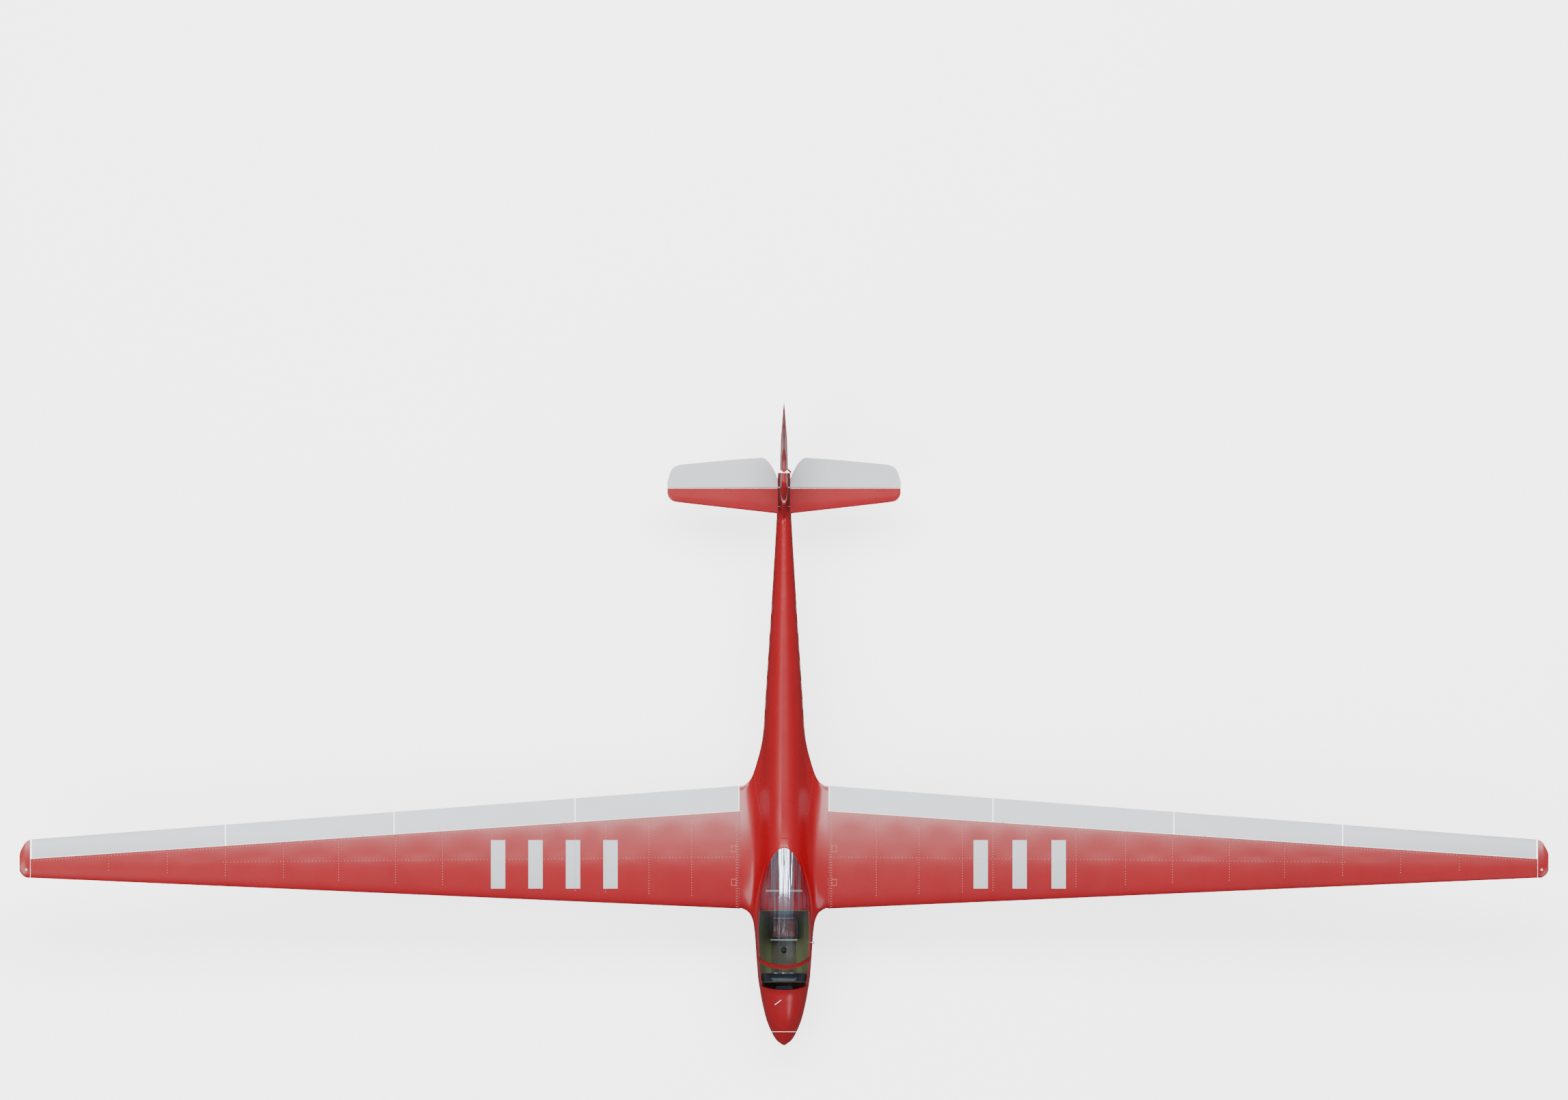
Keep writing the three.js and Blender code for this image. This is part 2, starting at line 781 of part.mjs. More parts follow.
function skidRunner() {
  const rings = skidSlices.map(([y, top, bottom, wide, narrow]) => [
    [-wide, y, top + 6],
    [-narrow, y, bottom],
    [narrow, y, bottom],
    [wide, y, top + 6],
  ]);
  const keel = hullLoft(between(-615, -300), -gap, 28);
  const fairing = solidOf(box(-20, 20, -316.6, -250, 0, 60));
  const cap = solidOf(box(-40, 40, -640, capSeamY + 1, 0, 90));
  return solidOf(loft(rings)).subtract(keel).subtract(fairing).subtract(cap);
}

add("skid_runner", geometryOf(skidRunner()), "olive");

function skidSole() {
  const rings = skidSlices.slice(1).map(([y, , bottom, , narrow]) => [
    [-narrow + 0.5, y, bottom - gap],
    [-narrow + 0.5, y, bottom - gap - soleThickness],
    [narrow - 0.5, y, bottom - gap - soleThickness],
    [narrow - 0.5, y, bottom - gap],
  ]);
  return loft(rings);
}

add("skid_sole", skidSole(), "aluminium");

function tyre() {
  const { radius, width, rim, y, z } = wheel;
  const half = width / 2;
  const profile = [
    [rim + 0.3, -half * 0.72],
    [rim + 4, -half],
    [radius - 4, -half * 0.94],
    [radius - 1.2, -half * 0.6],
    [radius, 0],
    [radius - 1.2, half * 0.6],
    [radius - 4, half * 0.94],
    [rim + 4, half],
    [rim + 0.3, half * 0.72],
    [rim + 0.3, -half * 0.72],
  ];
  return turned(profile, y, z, 28);
}

function wheelHub() {
  const { width, rim, y, z } = wheel;
  const half = width / 2;
  const profile = [
    [2.55, -half * 0.7],
    [7.6, -half * 0.7],
    [8.4, -half * 0.4],
    [12.4, -half * 0.4],
    [rim, -half * 0.62],
    [rim, half * 0.62],
    [12.4, half * 0.4],
    [8.4, half * 0.4],
    [7.6, half * 0.7],
    [2.55, half * 0.7],
    [2.55, -half * 0.7],
  ];
  return turned(profile, y, z, 24);
}

add("tyre", tyre(), "rubber");
add("wheel_hub", wheelHub(), "aluminium");
add("wheel_axle", bar([-12.6, wheel.y, wheel.z], [12.6, wheel.y, wheel.z], 2.5, 16), "steel");

// ---------------------------------------------------------------- wings

add("wing_joiner", geometryOf(joinerBar(joiner.radius, joiner.reach - 2)), "carbon");

const frameInset = { skin: 1.5, nose: 3.5, rear: 3.5 };

function servoPocket(side, place, extra) {
  const { x, y } = place;
  const z = wingZ(x, y, -1, 0) + frameInset.skin + 1.2 + wingServo.height / 2;
  const { length, width, height } = wingServo;
  const pocket = box(
    side * x - length / 2 - extra,
    side * x + length / 2 + extra,
    y - width / 2 - extra,
    y + width / 2 + extra,
    z - height / 2 - extra,
    z + height / 2 + extra,
  );
  const tilt = Math.atan2(wing.height[1] - wing.height[0], wing.tipX - wing.rootX);
  return pocket.translate(-side * x, 0, -z).rotateY(-side * tilt).translate(side * x, 0, z);
}

function rodSlotUnder(side, place) {
  const low = wingZ(place.x, place.y, -1);
  return box(side * place.x - 2.5, side * place.x + 2.5, place.y - 9, place.y + 7, low - 8, low + 2);
}

function wingSkin(side) {
  const { skin, nose, rear } = frameInset;
  let outer = wingSolid(side, 0, 0, surfaceGap, wing.rootX, wing.tipX);
  const inner = wingSolid(side, skin, nose - 0.5, rear, wing.rootX - 4, wing.tipX - 4);
  outer = outer.subtract(inner);
  for (const place of Object.values(servoPlaces)) {
    outer = outer.subtract(solidOf(rodSlotUnder(side, place)));
  }
  return outer;
}

function wingRibs(side) {
  const { skin, nose, rear } = frameInset;
  const ends = [wing.rootX + 1, wing.tipX - 6];
  const room = wingSolid(side, skin + 2 * gap, nose + 1, rear + gap, ...ends, ribSteps);
  const ribs = ribPlaces.map((x) => solidOf(box(side * x - 1, side * x + 1, -380, -100, 80, 260)));
  const reach = ends.map((x) => side * x);
  const spar = solidOf(box(Math.min(...reach), Math.max(...reach), sparY - 4, sparY + 4, 80, 260));
  let frame = room.intersect(joined([spar, ...ribs]));
  frame = frame.subtract(joinerBar(joiner.radius + gap, joiner.reach + 2));
  for (const place of Object.values(servoPlaces)) {
    frame = frame.subtract(solidOf(servoPocket(side, place, gap + 0.2)));
  }
  return frame;
}

function wingTip(side) {
  const seamX = wing.tipX + gap;
  const rounds = [
    [seamX, 0, 0, 1],
    [1487.5, 1, 5, 0.94],
    [1495.5, 7, 18, 0.66],
    [wing.halfSpan, 16, 32, 0.3],
  ];
  const steps = [0, 0.03, 0.12, 0.3, 0.6, 1];
  const rings = rounds.map(([x, frontIn, backIn, share]) => {
    const frame = wingFrame(wing.tipX);
    const from = frame.leading + frontIn;
    const to = frame.trailing - backIn;
    const middle = (y) => (wingZ(wing.tipX, y, 1) + wingZ(wing.tipX, y, -1)) / 2;
    const half = (t) => Math.max(sectionHeight(t, 1) - sectionHeight(t, -1), 0.012) / 2;
    const rise = (x - wing.tipX) * 0.0694;
    const at = (t, up) => {
      const y = mix([from, to], t);
      return [side * x, y, middle(y) + rise + up * half(t) * share * (frame.trailing - frame.leading)];
    };
    const upper = steps.slice().reverse().map((t) => at(t, 1));
    const lower = steps.slice(1).map((t) => at(t, -1));
    return [...upper, ...lower];
  });
  return loft(rings);
}

// One hinged surface. Its top front edge is the hinge; its front face slants back going down.
function hingedSurface(side, fromX, toX, slant, horn) {
  const ring = (x) => {
    const frame = wingFrame(x);
    const front = frame.hinge + 0.2;
    const top = wingZ(x, front, 1);
    const thick = top - wingZ(x, front, -1);
    const foot = front + thick * slant;
    const back = frame.trailing;
    const half = 0.45;
    const tail = (wingZ(x, back, 1) + wingZ(x, back, -1)) / 2;
    const middle = (front + back) / 2;
    return [
      [side * x, front, top],
      [side * x, front + 0.5, top - 1],
      [side * x, foot, wingZ(x, foot, -1)],
      [side * x, back, tail - half],
      [side * x, back, tail + half],
      [side * x, middle, wingZ(x, middle, 1)],
    ];
  };
  const body = solidOf(loft([ring(fromX), ring(toX)]));
  if (horn === undefined) return geometryOf(body);
  const frame = wingFrame(horn);
  const low = wingZ(horn, frame.hinge + 8, -1);
  const outline = [
    [frame.hinge + 8, low + 1.2],
    [frame.hinge + 19, low + 1.2],
    [frame.hinge + 3, low - hornRod.drop - 3.5],
    [frame.hinge - 1, low - hornRod.drop - 1],
    [frame.hinge, low - hornRod.drop + 1.5],
  ];
  return geometryOf(body.add(solidOf(sideSlab(outline, side * horn - 3.2, side * horn - 2))));
}

function wingPushrod(side, place) {
  const frame = wingFrame(place.x);
  const low = wingZ(place.x, frame.hinge, -1) - hornRod.drop;
  const start = wingZ(place.x, place.y, -1) - hornRod.drop;
  const x = side * place.x;
  const rod = solidOf(bar([x, place.y - 1, start], [x, frame.hinge + 0.5, low], hornRod.radius, 8));
  const arm = solidOf(box(x - 1.1, x + 1.1, place.y - 3.5, place.y + 0.5, start - 1.6, start + 4.4));
  return geometryOf(rod.add(arm));
}

const sides = [
  ["left", 1],
  ["right", -1],
];
for (const [word, side] of sides) {
  add(`${word}_wing_skin`, geometryOf(wingSkin(side)), "red");
  add(`${word}_wing_frame`, geometryOf(wingRibs(side)), "wood");
  add(`${word}_wing_tip`, wingTip(side), "red");
  add(`${word}_flap_servo`, servoPocket(side, servoPlaces.flap, 0), "black");
  add(`${word}_aileron_servo`, servoPocket(side, servoPlaces.aileron, 0), "black");
  add(`${word}_flap_pushrod`, wingPushrod(side, servoPlaces.flap), "steel");
  add(`${word}_aileron_pushrod`, wingPushrod(side, servoPlaces.aileron), "steel");
  const surfaces = [
    ["inner_flap", flapSlant, undefined],
    ["outer_flap", flapSlant, servoPlaces.flap.x],
    ["inner_aileron", aileronSlant, servoPlaces.aileron.x],
    ["outer_aileron", aileronSlant, undefined],
  ];
  surfaces.forEach(([name, slant, horn], i) => {
    const fromX = surfaceSplits[i] + 1;
    const toX = surfaceSplits[i + 1] - 1;
    add(`${word}_${name}`, hingedSurface(side, fromX, toX, slant, horn), "white");
  });
}

// ---------------------------------------------------------------- tail

function stabiliser(side) {
  const back = tailplane.hingeY - 1;
  const { z, rootX, tipX, leadRoot, leadTip, thick } = tailplane;
  const places = [
    [rootX, 0, 1],
    [tipX - 14, 0, 0.74],
    [tipX - 5, 5, 0.68],
    [tipX, 15, 0.5],
  ];
  const rings = places.map(([x, round, share]) => {
    const front = mix([leadRoot, leadTip], (x - rootX) / (tipX - rootX)) + round;
    const half = (thick / 2) * share;
    const depth = back - front;
    return [
      [side * x, front, z],
      [side * x, front + depth * 0.08, z + half * 0.6],
      [side * x, front + depth * 0.4, z + half],
      [side * x, back, z + half * 0.86],
      [side * x, back, z - half * 0.86],
      [side * x, front + depth * 0.4, z - half],
      [side * x, front + depth * 0.08, z - half * 0.6],
    ];
  });
  const pin = solidOf(bar([-40, 425, z], [40, 425, z], 1.5 + gap, 10));
  return geometryOf(solidOf(loft(rings)).subtract(pin));
}

add("left_stabiliser", stabiliser(1), "red");
add("right_stabiliser", stabiliser(-1), "red");
add("stabiliser_joiner", bar([-38, 425, tailplane.z], [38, 425, tailplane.z], 1.5, 12), "carbon");

function elevatorHalf(side) {
  const { hingeY, z, thick, tipX, rootX } = tailplane;
  const front = hingeY - 0.4;
  const places = [
    [12.4, 480],
    [20, 498],
    [30, 513],
    [41, 521.2],
    [206, 507],
    [221, 498],
    [tipX, 474],
  ];
  const rings = places.map(([x, back]) => {
    const half = (thick / 2) * 0.86 * (1 - (0.42 * (x - rootX)) / (tipX - rootX));
    const bevel = half * 0.5;
    return [
      [side * x, front, z],
      [side * x, front + bevel, z + half],
      [side * x, back, z + 0.5],
      [side * x, back, z - 0.5],
      [side * x, front + bevel, z - half],
    ];
  });
  return solidOf(loft(rings));
}

function elevator() {
  const { hingeY, z } = tailplane;
  const torque = solidOf(bar([-14, hingeY + 0.6, z], [14, hingeY + 0.6, z], 1.3, 10));
  const outline = [
    [hingeY - 1, z],
    [hingeY + 2.2, z],
    [hingeY + 1, z - elevatorHorn - 2],
    [hingeY - 3.5, z - elevatorHorn - 2],
  ];
  const horn = solidOf(sideSlab(outline, -1, 1));
  return joined([elevatorHalf(1), elevatorHalf(-1), torque, horn]);
}

add("elevator", geometryOf(elevator()), "white");

// The rudder as horizontal slices: [z, y of its back edge, half thickness at the hinge].
const rudderSlices = [
  [87, 500, 4],
  [91.5, 572, 6],
  [97, 594, 7],
  [106, 612, 7.8],
  [121, 625.5, 7.8],
  [140, 630, 7.8],
  [162, 625.5, 7.6],
  [194, 610.4, 7],
  [240, 578, 6],
  [276, 546, 5.2],
  [291, 530, 4.4],
  [300.5, 514, 3.4],
  [304.8, 500, 2],
];

function rudder() {
  const front = hingePostY + rudderGap;
  const rings = rudderSlices.map(([z, back, half]) => [
    [0, front, z],
    [half, front + half * 0.62, z],
    [half * 0.75, front + (back - front) * 0.5, z],
    [0.5, back, z],
    [-0.5, back, z],
    [-half * 0.75, front + (back - front) * 0.5, z],
    [-half, front + half * 0.62, z],
  ]);
  const body = solidOf(loft(rings));
  const outline = [
    [6, front + 0.5],
    [14.4, front - 2.5],
    [14.4, front + 2.2],
    [6, front + 8],
  ];
  const plate = new THREE.Shape(outline.map(([x, y]) => new THREE.Vector2(x, y)));
  const horn = new THREE.ExtrudeGeometry(plate, { depth: 1.4, bevelEnabled: false });
  return geometryOf(body.add(solidOf(horn.translate(0, 0, rodLift + 1.6))));
}

add("rudder", rudder(), "white");

function tailSkid() {
  const heel = { y: 474, z: 74.5, radius: 9.5 };
  const outline = [
    [414, 78.2],
    [462, 66.5],
  ];
  for (let step = 0; step <= 5; step += 1) {
    const angle = (Math.PI / 2) * (step / 5 - 1);
    outline.push([heel.y + heel.radius * Math.cos(angle), heel.z + heel.radius * Math.sin(angle)]);
  }
  outline.push([482, 85.6]);
  const plate = solidOf(sideSlab(outline, -4, 4));
  return plate.subtract(hullLoft([400, 420, 450, hingePostY], -gap, 28));
}

add("tail_skid", geometryOf(tailSkid()), "green");

export default glider;
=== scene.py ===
"""The looks of a radio-controlled scale sailplane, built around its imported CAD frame.

Shape functions work in millimetres, +Z up, nose towards -Y, left wing towards +X. Blender objects are
in metres, in the same frame.
"""

import math

import bmesh
import bpy
import numpy as np
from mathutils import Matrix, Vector
from mathutils.bvhtree import BVHTree


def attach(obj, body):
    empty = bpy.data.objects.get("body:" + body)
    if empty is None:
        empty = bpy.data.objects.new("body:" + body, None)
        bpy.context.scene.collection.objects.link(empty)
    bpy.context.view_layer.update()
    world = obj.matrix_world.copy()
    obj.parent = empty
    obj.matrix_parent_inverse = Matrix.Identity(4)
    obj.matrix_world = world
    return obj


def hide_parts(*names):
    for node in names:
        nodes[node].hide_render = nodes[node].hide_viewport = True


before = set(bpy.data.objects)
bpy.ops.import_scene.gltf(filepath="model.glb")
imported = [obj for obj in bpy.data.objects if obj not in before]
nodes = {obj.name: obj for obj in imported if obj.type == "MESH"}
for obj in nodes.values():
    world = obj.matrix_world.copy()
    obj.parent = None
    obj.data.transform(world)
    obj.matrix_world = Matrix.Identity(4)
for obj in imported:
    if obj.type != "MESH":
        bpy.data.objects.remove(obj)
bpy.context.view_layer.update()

# ---- driving dimensions

GAP = 0.4
WALL = 2.0
# Each row: y, half width, top, bottom, height of the widest line.
HULL = [
    [-630, 4, 70, 57, 64],
    [-622, 14.5, 84, 47, 65],
    [-606, 24.5, 103, 40.3, 68],
    [-580, 35, 123.5, 36, 72],
    [-545, 43.5, 141.5, 31, 76],
    [-528, 46.5, 150, 29.5, 80],
    [-500, 51, 177, 26.5, 88],
    [-475, 53, 201, 25, 94],
    [-455, 54.5, 213.5, 24.3, 97],
    [-425, 56.5, 223, 23.7, 100],
    [-400, 57.8, 226.5, 23.6, 101],
    [-340, 57.5, 217.5, 25.5, 101],
    [-290, 55, 203.5, 28.5, 101],
    [-235, 52, 187, 33, 102],
    [-156, 47.5, 179.6, 38.9, 104],
    [-50, 42.5, 170.4, 46.9, 106],
    [60, 36, 160.8, 55, 107],
    [220, 25.5, 148.7, 65.7, 107],
    [350, 17.5, 138, 74.3, 106.5],
    [420, 13.5, 133, 78.5, 107],
    [491.4, 8.5, 128, 85.8, 107],
]
# How much the hull narrows towards its top, and how full its lower half is (2 is an ellipse).
PINCH = 0.08
BELLY = 2.2
# The canopy seam, as y and height.
SEAM = [[-610, 76.4], [-514, 107.2], [-468, 119.8], [-427, 128.8], [-390, 139], [-347, 150.9], [-220, 187]]
CAP_SEAM = -605.0
BULKHEAD = -366.0
SCREEN_FOOT = -513.5
JOINER_Y = -297
TAIL_JOINER_Y = 425
HINGE_POST = 491.4
RUDDER_GAP = 0.8
HOOP = {"top": (-478, 198), "bottom": (-461, 124), "width": 4}
WING = {
    "root": 87.0,
    "tip": 1478.6,
    "span": 1500.0,
    "leading": (-363.5, -303),
    "hinge": (-171.6, -265.3),
    "trailing": (-122.5, -227.8),
    "height": (118.9, 215.4),
    "incidence": (0.07, 0.035),
}
RIBS = [181, 265, 350, 410, 476, 573, 670, 762, 874, 982, 1096, 1210, 1325, 1440]
SPLITS = [89, 410, 765, 1096, 1477.2]
SPAR = -276
FLAP_SERVO = (430, -234)
AILERON_SERVO = (826, -250)
TAIL = {"z": 133, "root": 12, "tip": 229, "hinge": 462, "lead": (411.4, 436), "thick": 9}
# Each row: height, leading edge, half thickness.
FIN = [
    [100, 405, 8],
    [140, 405, 8],
    [153, 412, 7.8],
    [190, 425.5, 7.2],
    [241, 441.5, 6.2],
    [270, 451.5, 5.5],
    [290, 461.5, 4.8],
    [300, 471.5, 3.8],
    [305.5, 482, 2],
]
# Each row: height, trailing edge, half thickness.
RUDDER = [
    [87, 500, 4],
    [91.5, 572, 6],
    [97, 594, 7],
    [106, 612, 7.8],
    [121, 625.5, 7.8],
    [140, 630, 7.8],
    [162, 625.5, 7.6],
    [194, 610.4, 7],
    [240, 578, 6],
    [276, 546, 5.2],
    [291, 530, 4.4],
    [300.5, 514, 3.4],
    [304.8, 500, 2],
]
# The elevator's trailing edge, as distance from the middle and y.
ELEVATOR_BACK = [[12.4, 480], [20, 498], [30, 513], [41, 521.2], [206, 507], [221, 498], [229, 474]]
# Each row: y, top, bottom, half width at the top, half width at the bottom.
SKID = [
    [-602, 38.2, 36, 4, 3],
    [-585, 36, 27.5, 12, 9],
    [-560, 32, 19.5, 17, 11],
    [-530, 29, 13.6, 19, 12],
    [-495, 25.8, 9.8, 20, 12],
    [-440, 23.6, 9.2, 20, 12],
    [-397, 23.2, 9.2, 20, 12],
    [-350, 24.6, 12, 20, 12],
    [-317, 25.2, 15.2, 19, 11.5],
]
WHEEL = {"y": -284, "z": 24, "radius": 24, "half": 9, "rim": 13.7}
FAIRING = [(-316, 60), (-316, 23), (-300, 22.4), (-260, 22), (-255, 21.4), (-222, 29), (-181, 38.2)]
FAIRING += [(-181, 60)]
ELEVATOR_RIBS = [12.4, 55, 92.5, 130, 167.5, 206, 229]
RUDDER_RIBS = [87, 112, 145, 180, 215, 250, 280, 304.8]
# Stitch and rivet heads, as radius and height.
LARGE_HEAD = (0.95, 0.4)
SMALL_HEAD = (0.9, 0.35)
# Each row: y and height at the start, y and height at the end, pitch.
RIVET_LINES = [
    (-517, 44, -517, 104, 5),
    (-421, 36, -421, 62, 5),
    (-601, 48, -601, 92, 5),
    (-424, 88, -348, 65.7, 6),
    (-342, 65.867, -180, 62.267, 8),
    (-177, 142, -60, 97.15, 5),
    (-170, 87.6, -60, 92, 7),
    (396, 96, 396, 126, 5),
    (462, 282.5, 487, 282.5, 4),
    (418, 152, 486, 145.2, 4.5),
    (425, 118, 486, 118, 6),
]


# ---- curves and sections


def along(table, place, column=1):
    """The value of a table at a place, on a smooth curve through its rows."""
    rows = np.array(table, float)
    knots, values = rows[:, 0], rows[:, column]
    last = len(knots) - 1
    at = np.clip(place, knots[0], knots[-1])
    row = np.clip(np.searchsorted(knots, at, side="left") - 1, 0, last - 1)
    index = np.arange(last + 1)
    before, after = np.maximum(index - 1, 0), np.minimum(index + 1, last)
    slope = (values[after] - values[before]) / (knots[after] - knots[before])
    span = knots[row + 1] - knots[row]
    t = (at - knots[row]) / span
    rise = values[row + 1] - values[row]
    a = slope[row] * span - rise
    b = rise - slope[row + 1] * span
    return values[row] + t * rise + t * (1 - t) * ((1 - t) * a + t * b)


def mix(pair, t):
    return pair[0] + (pair[1] - pair[0]) * t


def ease(t):
    t = np.clip(t, 0, 1)
    return t * t * (3 - 2 * t)


def hull_ring(y, inset, count):
    half = along(HULL, y, 1) - inset
    top = along(HULL, y, 2) - inset
    bottom = along(HULL, y, 3) + inset
    waist = along(HULL, y, 4)
    angle = np.arange(count) / count * 2 * np.pi
    up, out = np.sin(angle), np.cos(angle)
    power = 2 / BELLY
    x = np.where(up >= 0, half * out * (1 - PINCH * up), half * np.sign(out) * np.abs(out) ** power)
    z = np.where(up >= 0, waist + (top - waist) * up, waist - (waist - bottom) * np.abs(up) ** power)
    return np.stack([x, np.full(count, float(y)), z], axis=1)


def straight(table, place):
    """The value of a table at a place, on straight lines through its rows."""
    return float(np.interp(place, *np.array(table, float).T))


def seam_at(y):
    return straight(SEAM, y)


def seam_points(start, end, lift):
    inner = [row[0] for row in SEAM if start + 0.5 < row[0] < end - 0.5]
    return [(y, seam_at(y) + lift) for y in [start, *inner, end]]


def above_seam(start, end, lift, top=260):
    return [*seam_points(start, end, lift), (end, top), (start, top)]


def hoop_y(z, offset):
    """Where the leaning hoop's plane is at a height, moved fore or aft by an offset."""
    (top_y, top_z), (low_y, low_z) = HOOP["top"], HOOP["bottom"]
    return low_y + (top_y - low_y) * (z - low_z) / (top_z - low_z) + offset


def hoop_foot(lift, offset):
    y = HOOP["bottom"][0]
    for _ in range(6):
        y = hoop_y(seam_at(y) + lift, offset)
    return y


def screen_front(z, offset):
    return SCREEN_FOOT - 8.5 * (z - 107.2) / 43.8 + offset


def behind_hoop(lift, offset, end):
    start = hoop_foot(lift, offset)
    return [*seam_points(start, end, lift), (end, 200), (hoop_y(260, offset), 260)]


def wing_at(x):
    t = (np.abs(x) - WING["root"]) / (WING["tip"] - WING["root"])
    return {key: mix(WING[key], t) for key in ("leading", "hinge", "trailing", "height", "incidence")}


def section_height(u, side):
    """The wing section's upper (side 1) or lower (side -1) line, at a share of a chord of one."""
    u = np.clip(u, 0, 1)
    half = 0.7 * (0.2969 * np.sqrt(u) - 0.126 * u - 0.3516 * u**2 + 0.2843 * u**3 - 0.1036 * u**4)
    ahead = 0.1875 * (0.8 * u - u * u)
    behind = 0.083333 * (0.2 + 0.8 * u - u * u)
    return np.where(u < 0.4, ahead, behind) + side * half


def wing_z(x, y, side):
    place = wing_at(x)
    chord = place["trailing"] - place["leading"]
    u = np.clip((y - place["leading"]) / chord, 0, 1)
    return place["height"] + section_height(u, side) * chord + place["incidence"] * (0.35 - u) * chord


# ---- mesh helpers


def mesh_object(name, verts, faces, smooth=40):
    """A Blender object from points in millimetres, smooth except across edges sharper than an angle."""
    mesh = bpy.data.meshes.new(name)
    mesh.from_pydata((np.asarray(verts, float) * 0.001).tolist(), [], [list(map(int, f)) for f in faces])
    obj = bpy.data.objects.new(name, mesh)
    bpy.context.scene.collection.objects.link(obj)
    change_mesh(obj, lambda cage: bmesh.ops.recalc_face_normals(cage, faces=cage.faces))
    shade(obj, smooth)
    return obj


def change_mesh(obj, change):
    cage = bmesh.new()
    cage.from_mesh(obj.data)
    change(cage)
    cage.to_mesh(obj.data)
    cage.free()


def shade(obj, angle=32):
    """Smooth shading, except across edges sharper than an angle in degrees."""
    obj.data.shade_smooth()
    obj.data.set_sharp_from_angle(angle=math.radians(angle))


def loft_parts(rings):
    """Points and faces of a closed skin over rings with equal counts."""
    rings = [np.asarray(ring, float) for ring in rings]
    count = len(rings[0])
    verts = np.concatenate(rings)
    faces = []
    for r in range(len(rings) - 1):
        for i in range(count):
            a, b = r * count + i, r * count + (i + 1) % count
            faces.append((a, b, b + count, a + count))
    last = (len(rings) - 1) * count
    faces.append(tuple(range(count))[::-1])
    faces.append(tuple(last + i for i in range(count)))
    return verts, faces


def loft(name, rings, smooth=40):
    return mesh_object(name, *loft_parts(rings), smooth)


def slab(outline, half=80.0, low=None):
    """A prism across the aircraft with a side outline of (y, z) points."""
    low = -half if low is None else low
    count = len(outline)
    verts = [(x, y, z) for x in (low, half) for y, z in outline]
    faces = [(i, (i + 1) % count, (i + 1) % count + count, i + count) for i in range(count)]
    faces += [tuple(range(count))[::-1], tuple(range(count, 2 * count))]
    return mesh_object("cutter", verts, faces)


def block(x0, x1, y0, y1, z0, z1):
    return slab([(y0, z0), (y1, z0), (y1, z1), (y0, z1)], x1, x0)


def boolean(target, operation, *cutters):
    """Cuts, keeps or joins a piece with closed cutters, which are used up."""
    for cutter in cutters:
        step = target.modifiers.new("cut", "BOOLEAN")
        step.object = cutter
        step.operation = operation
        step.solver = "MANIFOLD"
    graph = bpy.context.evaluated_depsgraph_get()
    made = bpy.data.meshes.new_from_object(target.evaluated_get(graph))
    target.modifiers.clear()
    target.data = made
    for cutter in cutters:
        bpy.data.objects.remove(cutter)
    return target


def cut(target, *cutters):
    return boolean(target, "DIFFERENCE", *cutters)


def keep(target, *cutters):
    return boolean(target, "INTERSECT", *cutters)


def circle(axis, reference, sides):
    """Points one unit away from an axis, in the plane across it."""
    side = np.cross(axis, reference)
    side = side / np.linalg.norm(side)
    angle = np.arange(sides) / sides * 2 * np.pi
    return np.cos(angle)[:, None] * side + np.sin(angle)[:, None] * np.cross(axis, side)


def rod_parts(start, end, radius, sides=16, end_radius=None, edge=0):
    """A round bar, tapered to an end radius, or with a broken edge at both ends."""
    start, end = np.asarray(start, float), np.asarray(end, float)
    way = (end - start) / np.linalg.norm(end - start)
    ring = circle(way, (0, 0, 1) if abs(way[2]) < 0.9 else (1, 0, 0), sides)
    near, far = ring * radius, ring * (end_radius or radius)
    if not edge:
        return loft_parts([start + near, end + far])
    small, step = ring * (radius - edge), way * edge
    return loft_parts([start + small, start + step + near, end - step + near, end + small])


def bore(start, end, radius, sides=16):
    return mesh_object("cutter", *rod_parts(start, end, radius, sides))


def turned_parts(profile, centre, sides, axis=0):
    """A closed outline of (radius, place along the axis) points, turned about X or Y."""
    count = len(profile)
    way, other, up = np.eye(3)[axis], np.eye(3)[1 - axis], np.eye(3)[2]
    verts = []
    for angle in np.arange(sides) / sides * 2 * np.pi:
        out = other * math.cos(angle) + up * math.sin(angle)
        verts.extend(np.asarray(centre, float) + way * place + out * radius for radius, place in profile)
    faces = []
    for s in range(sides):
        for i in range(count):
            a, b = s * count, (s + 1) % sides * count
            faces.append((a + i, a + (i + 1) % count, b + (i + 1) % count, b + i))
    return verts, faces


def merged(name, parts, smooth=40):
    """One mesh from a list of (points, faces)."""
    verts, faces, base = [], [], 0
    for points, polygons in parts:
        verts.extend(np.asarray(points, float).tolist())
        faces.extend([tuple(i + base for i in polygon) for polygon in polygons])
        base += len(points)
    return mesh_object(name, verts, faces, smooth)


def dot_parts(point, normal, radius, height):
    """A low six-sided dome head standing on a surface."""
    normal = np.asarray(normal, float) / np.linalg.norm(normal)
    ring = circle(normal, (1, 0, 0) if abs(normal[0]) < 0.8 else (0, 1, 0), 6) * radius
    foot = np.asarray(point, float) - normal * 0.3
    return loft_parts([foot + ring, foot + normal * (height + 0.3) + ring * 0.55])


def set_material(obj, material):
    obj.data.materials.clear()
    obj.data.materials.append(material)


def finish_piece(obj, material, node=None, body="airframe"):
    """Gives a piece its material and body, and hides the CAD node that it stands for."""
    set_material(obj, material)
    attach(obj, body)
    if node:
        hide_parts(node)


# ---- materials


def rgb(r, g, b):
    """Linear colour from display values between 0 and 255."""
    parts = [c / 255 for c in (r, g, b)]
    return tuple(c / 12.92 if c <= 0.04045 else ((c + 0.055) / 1.055) ** 2.4 for c in parts) + (1.0,)


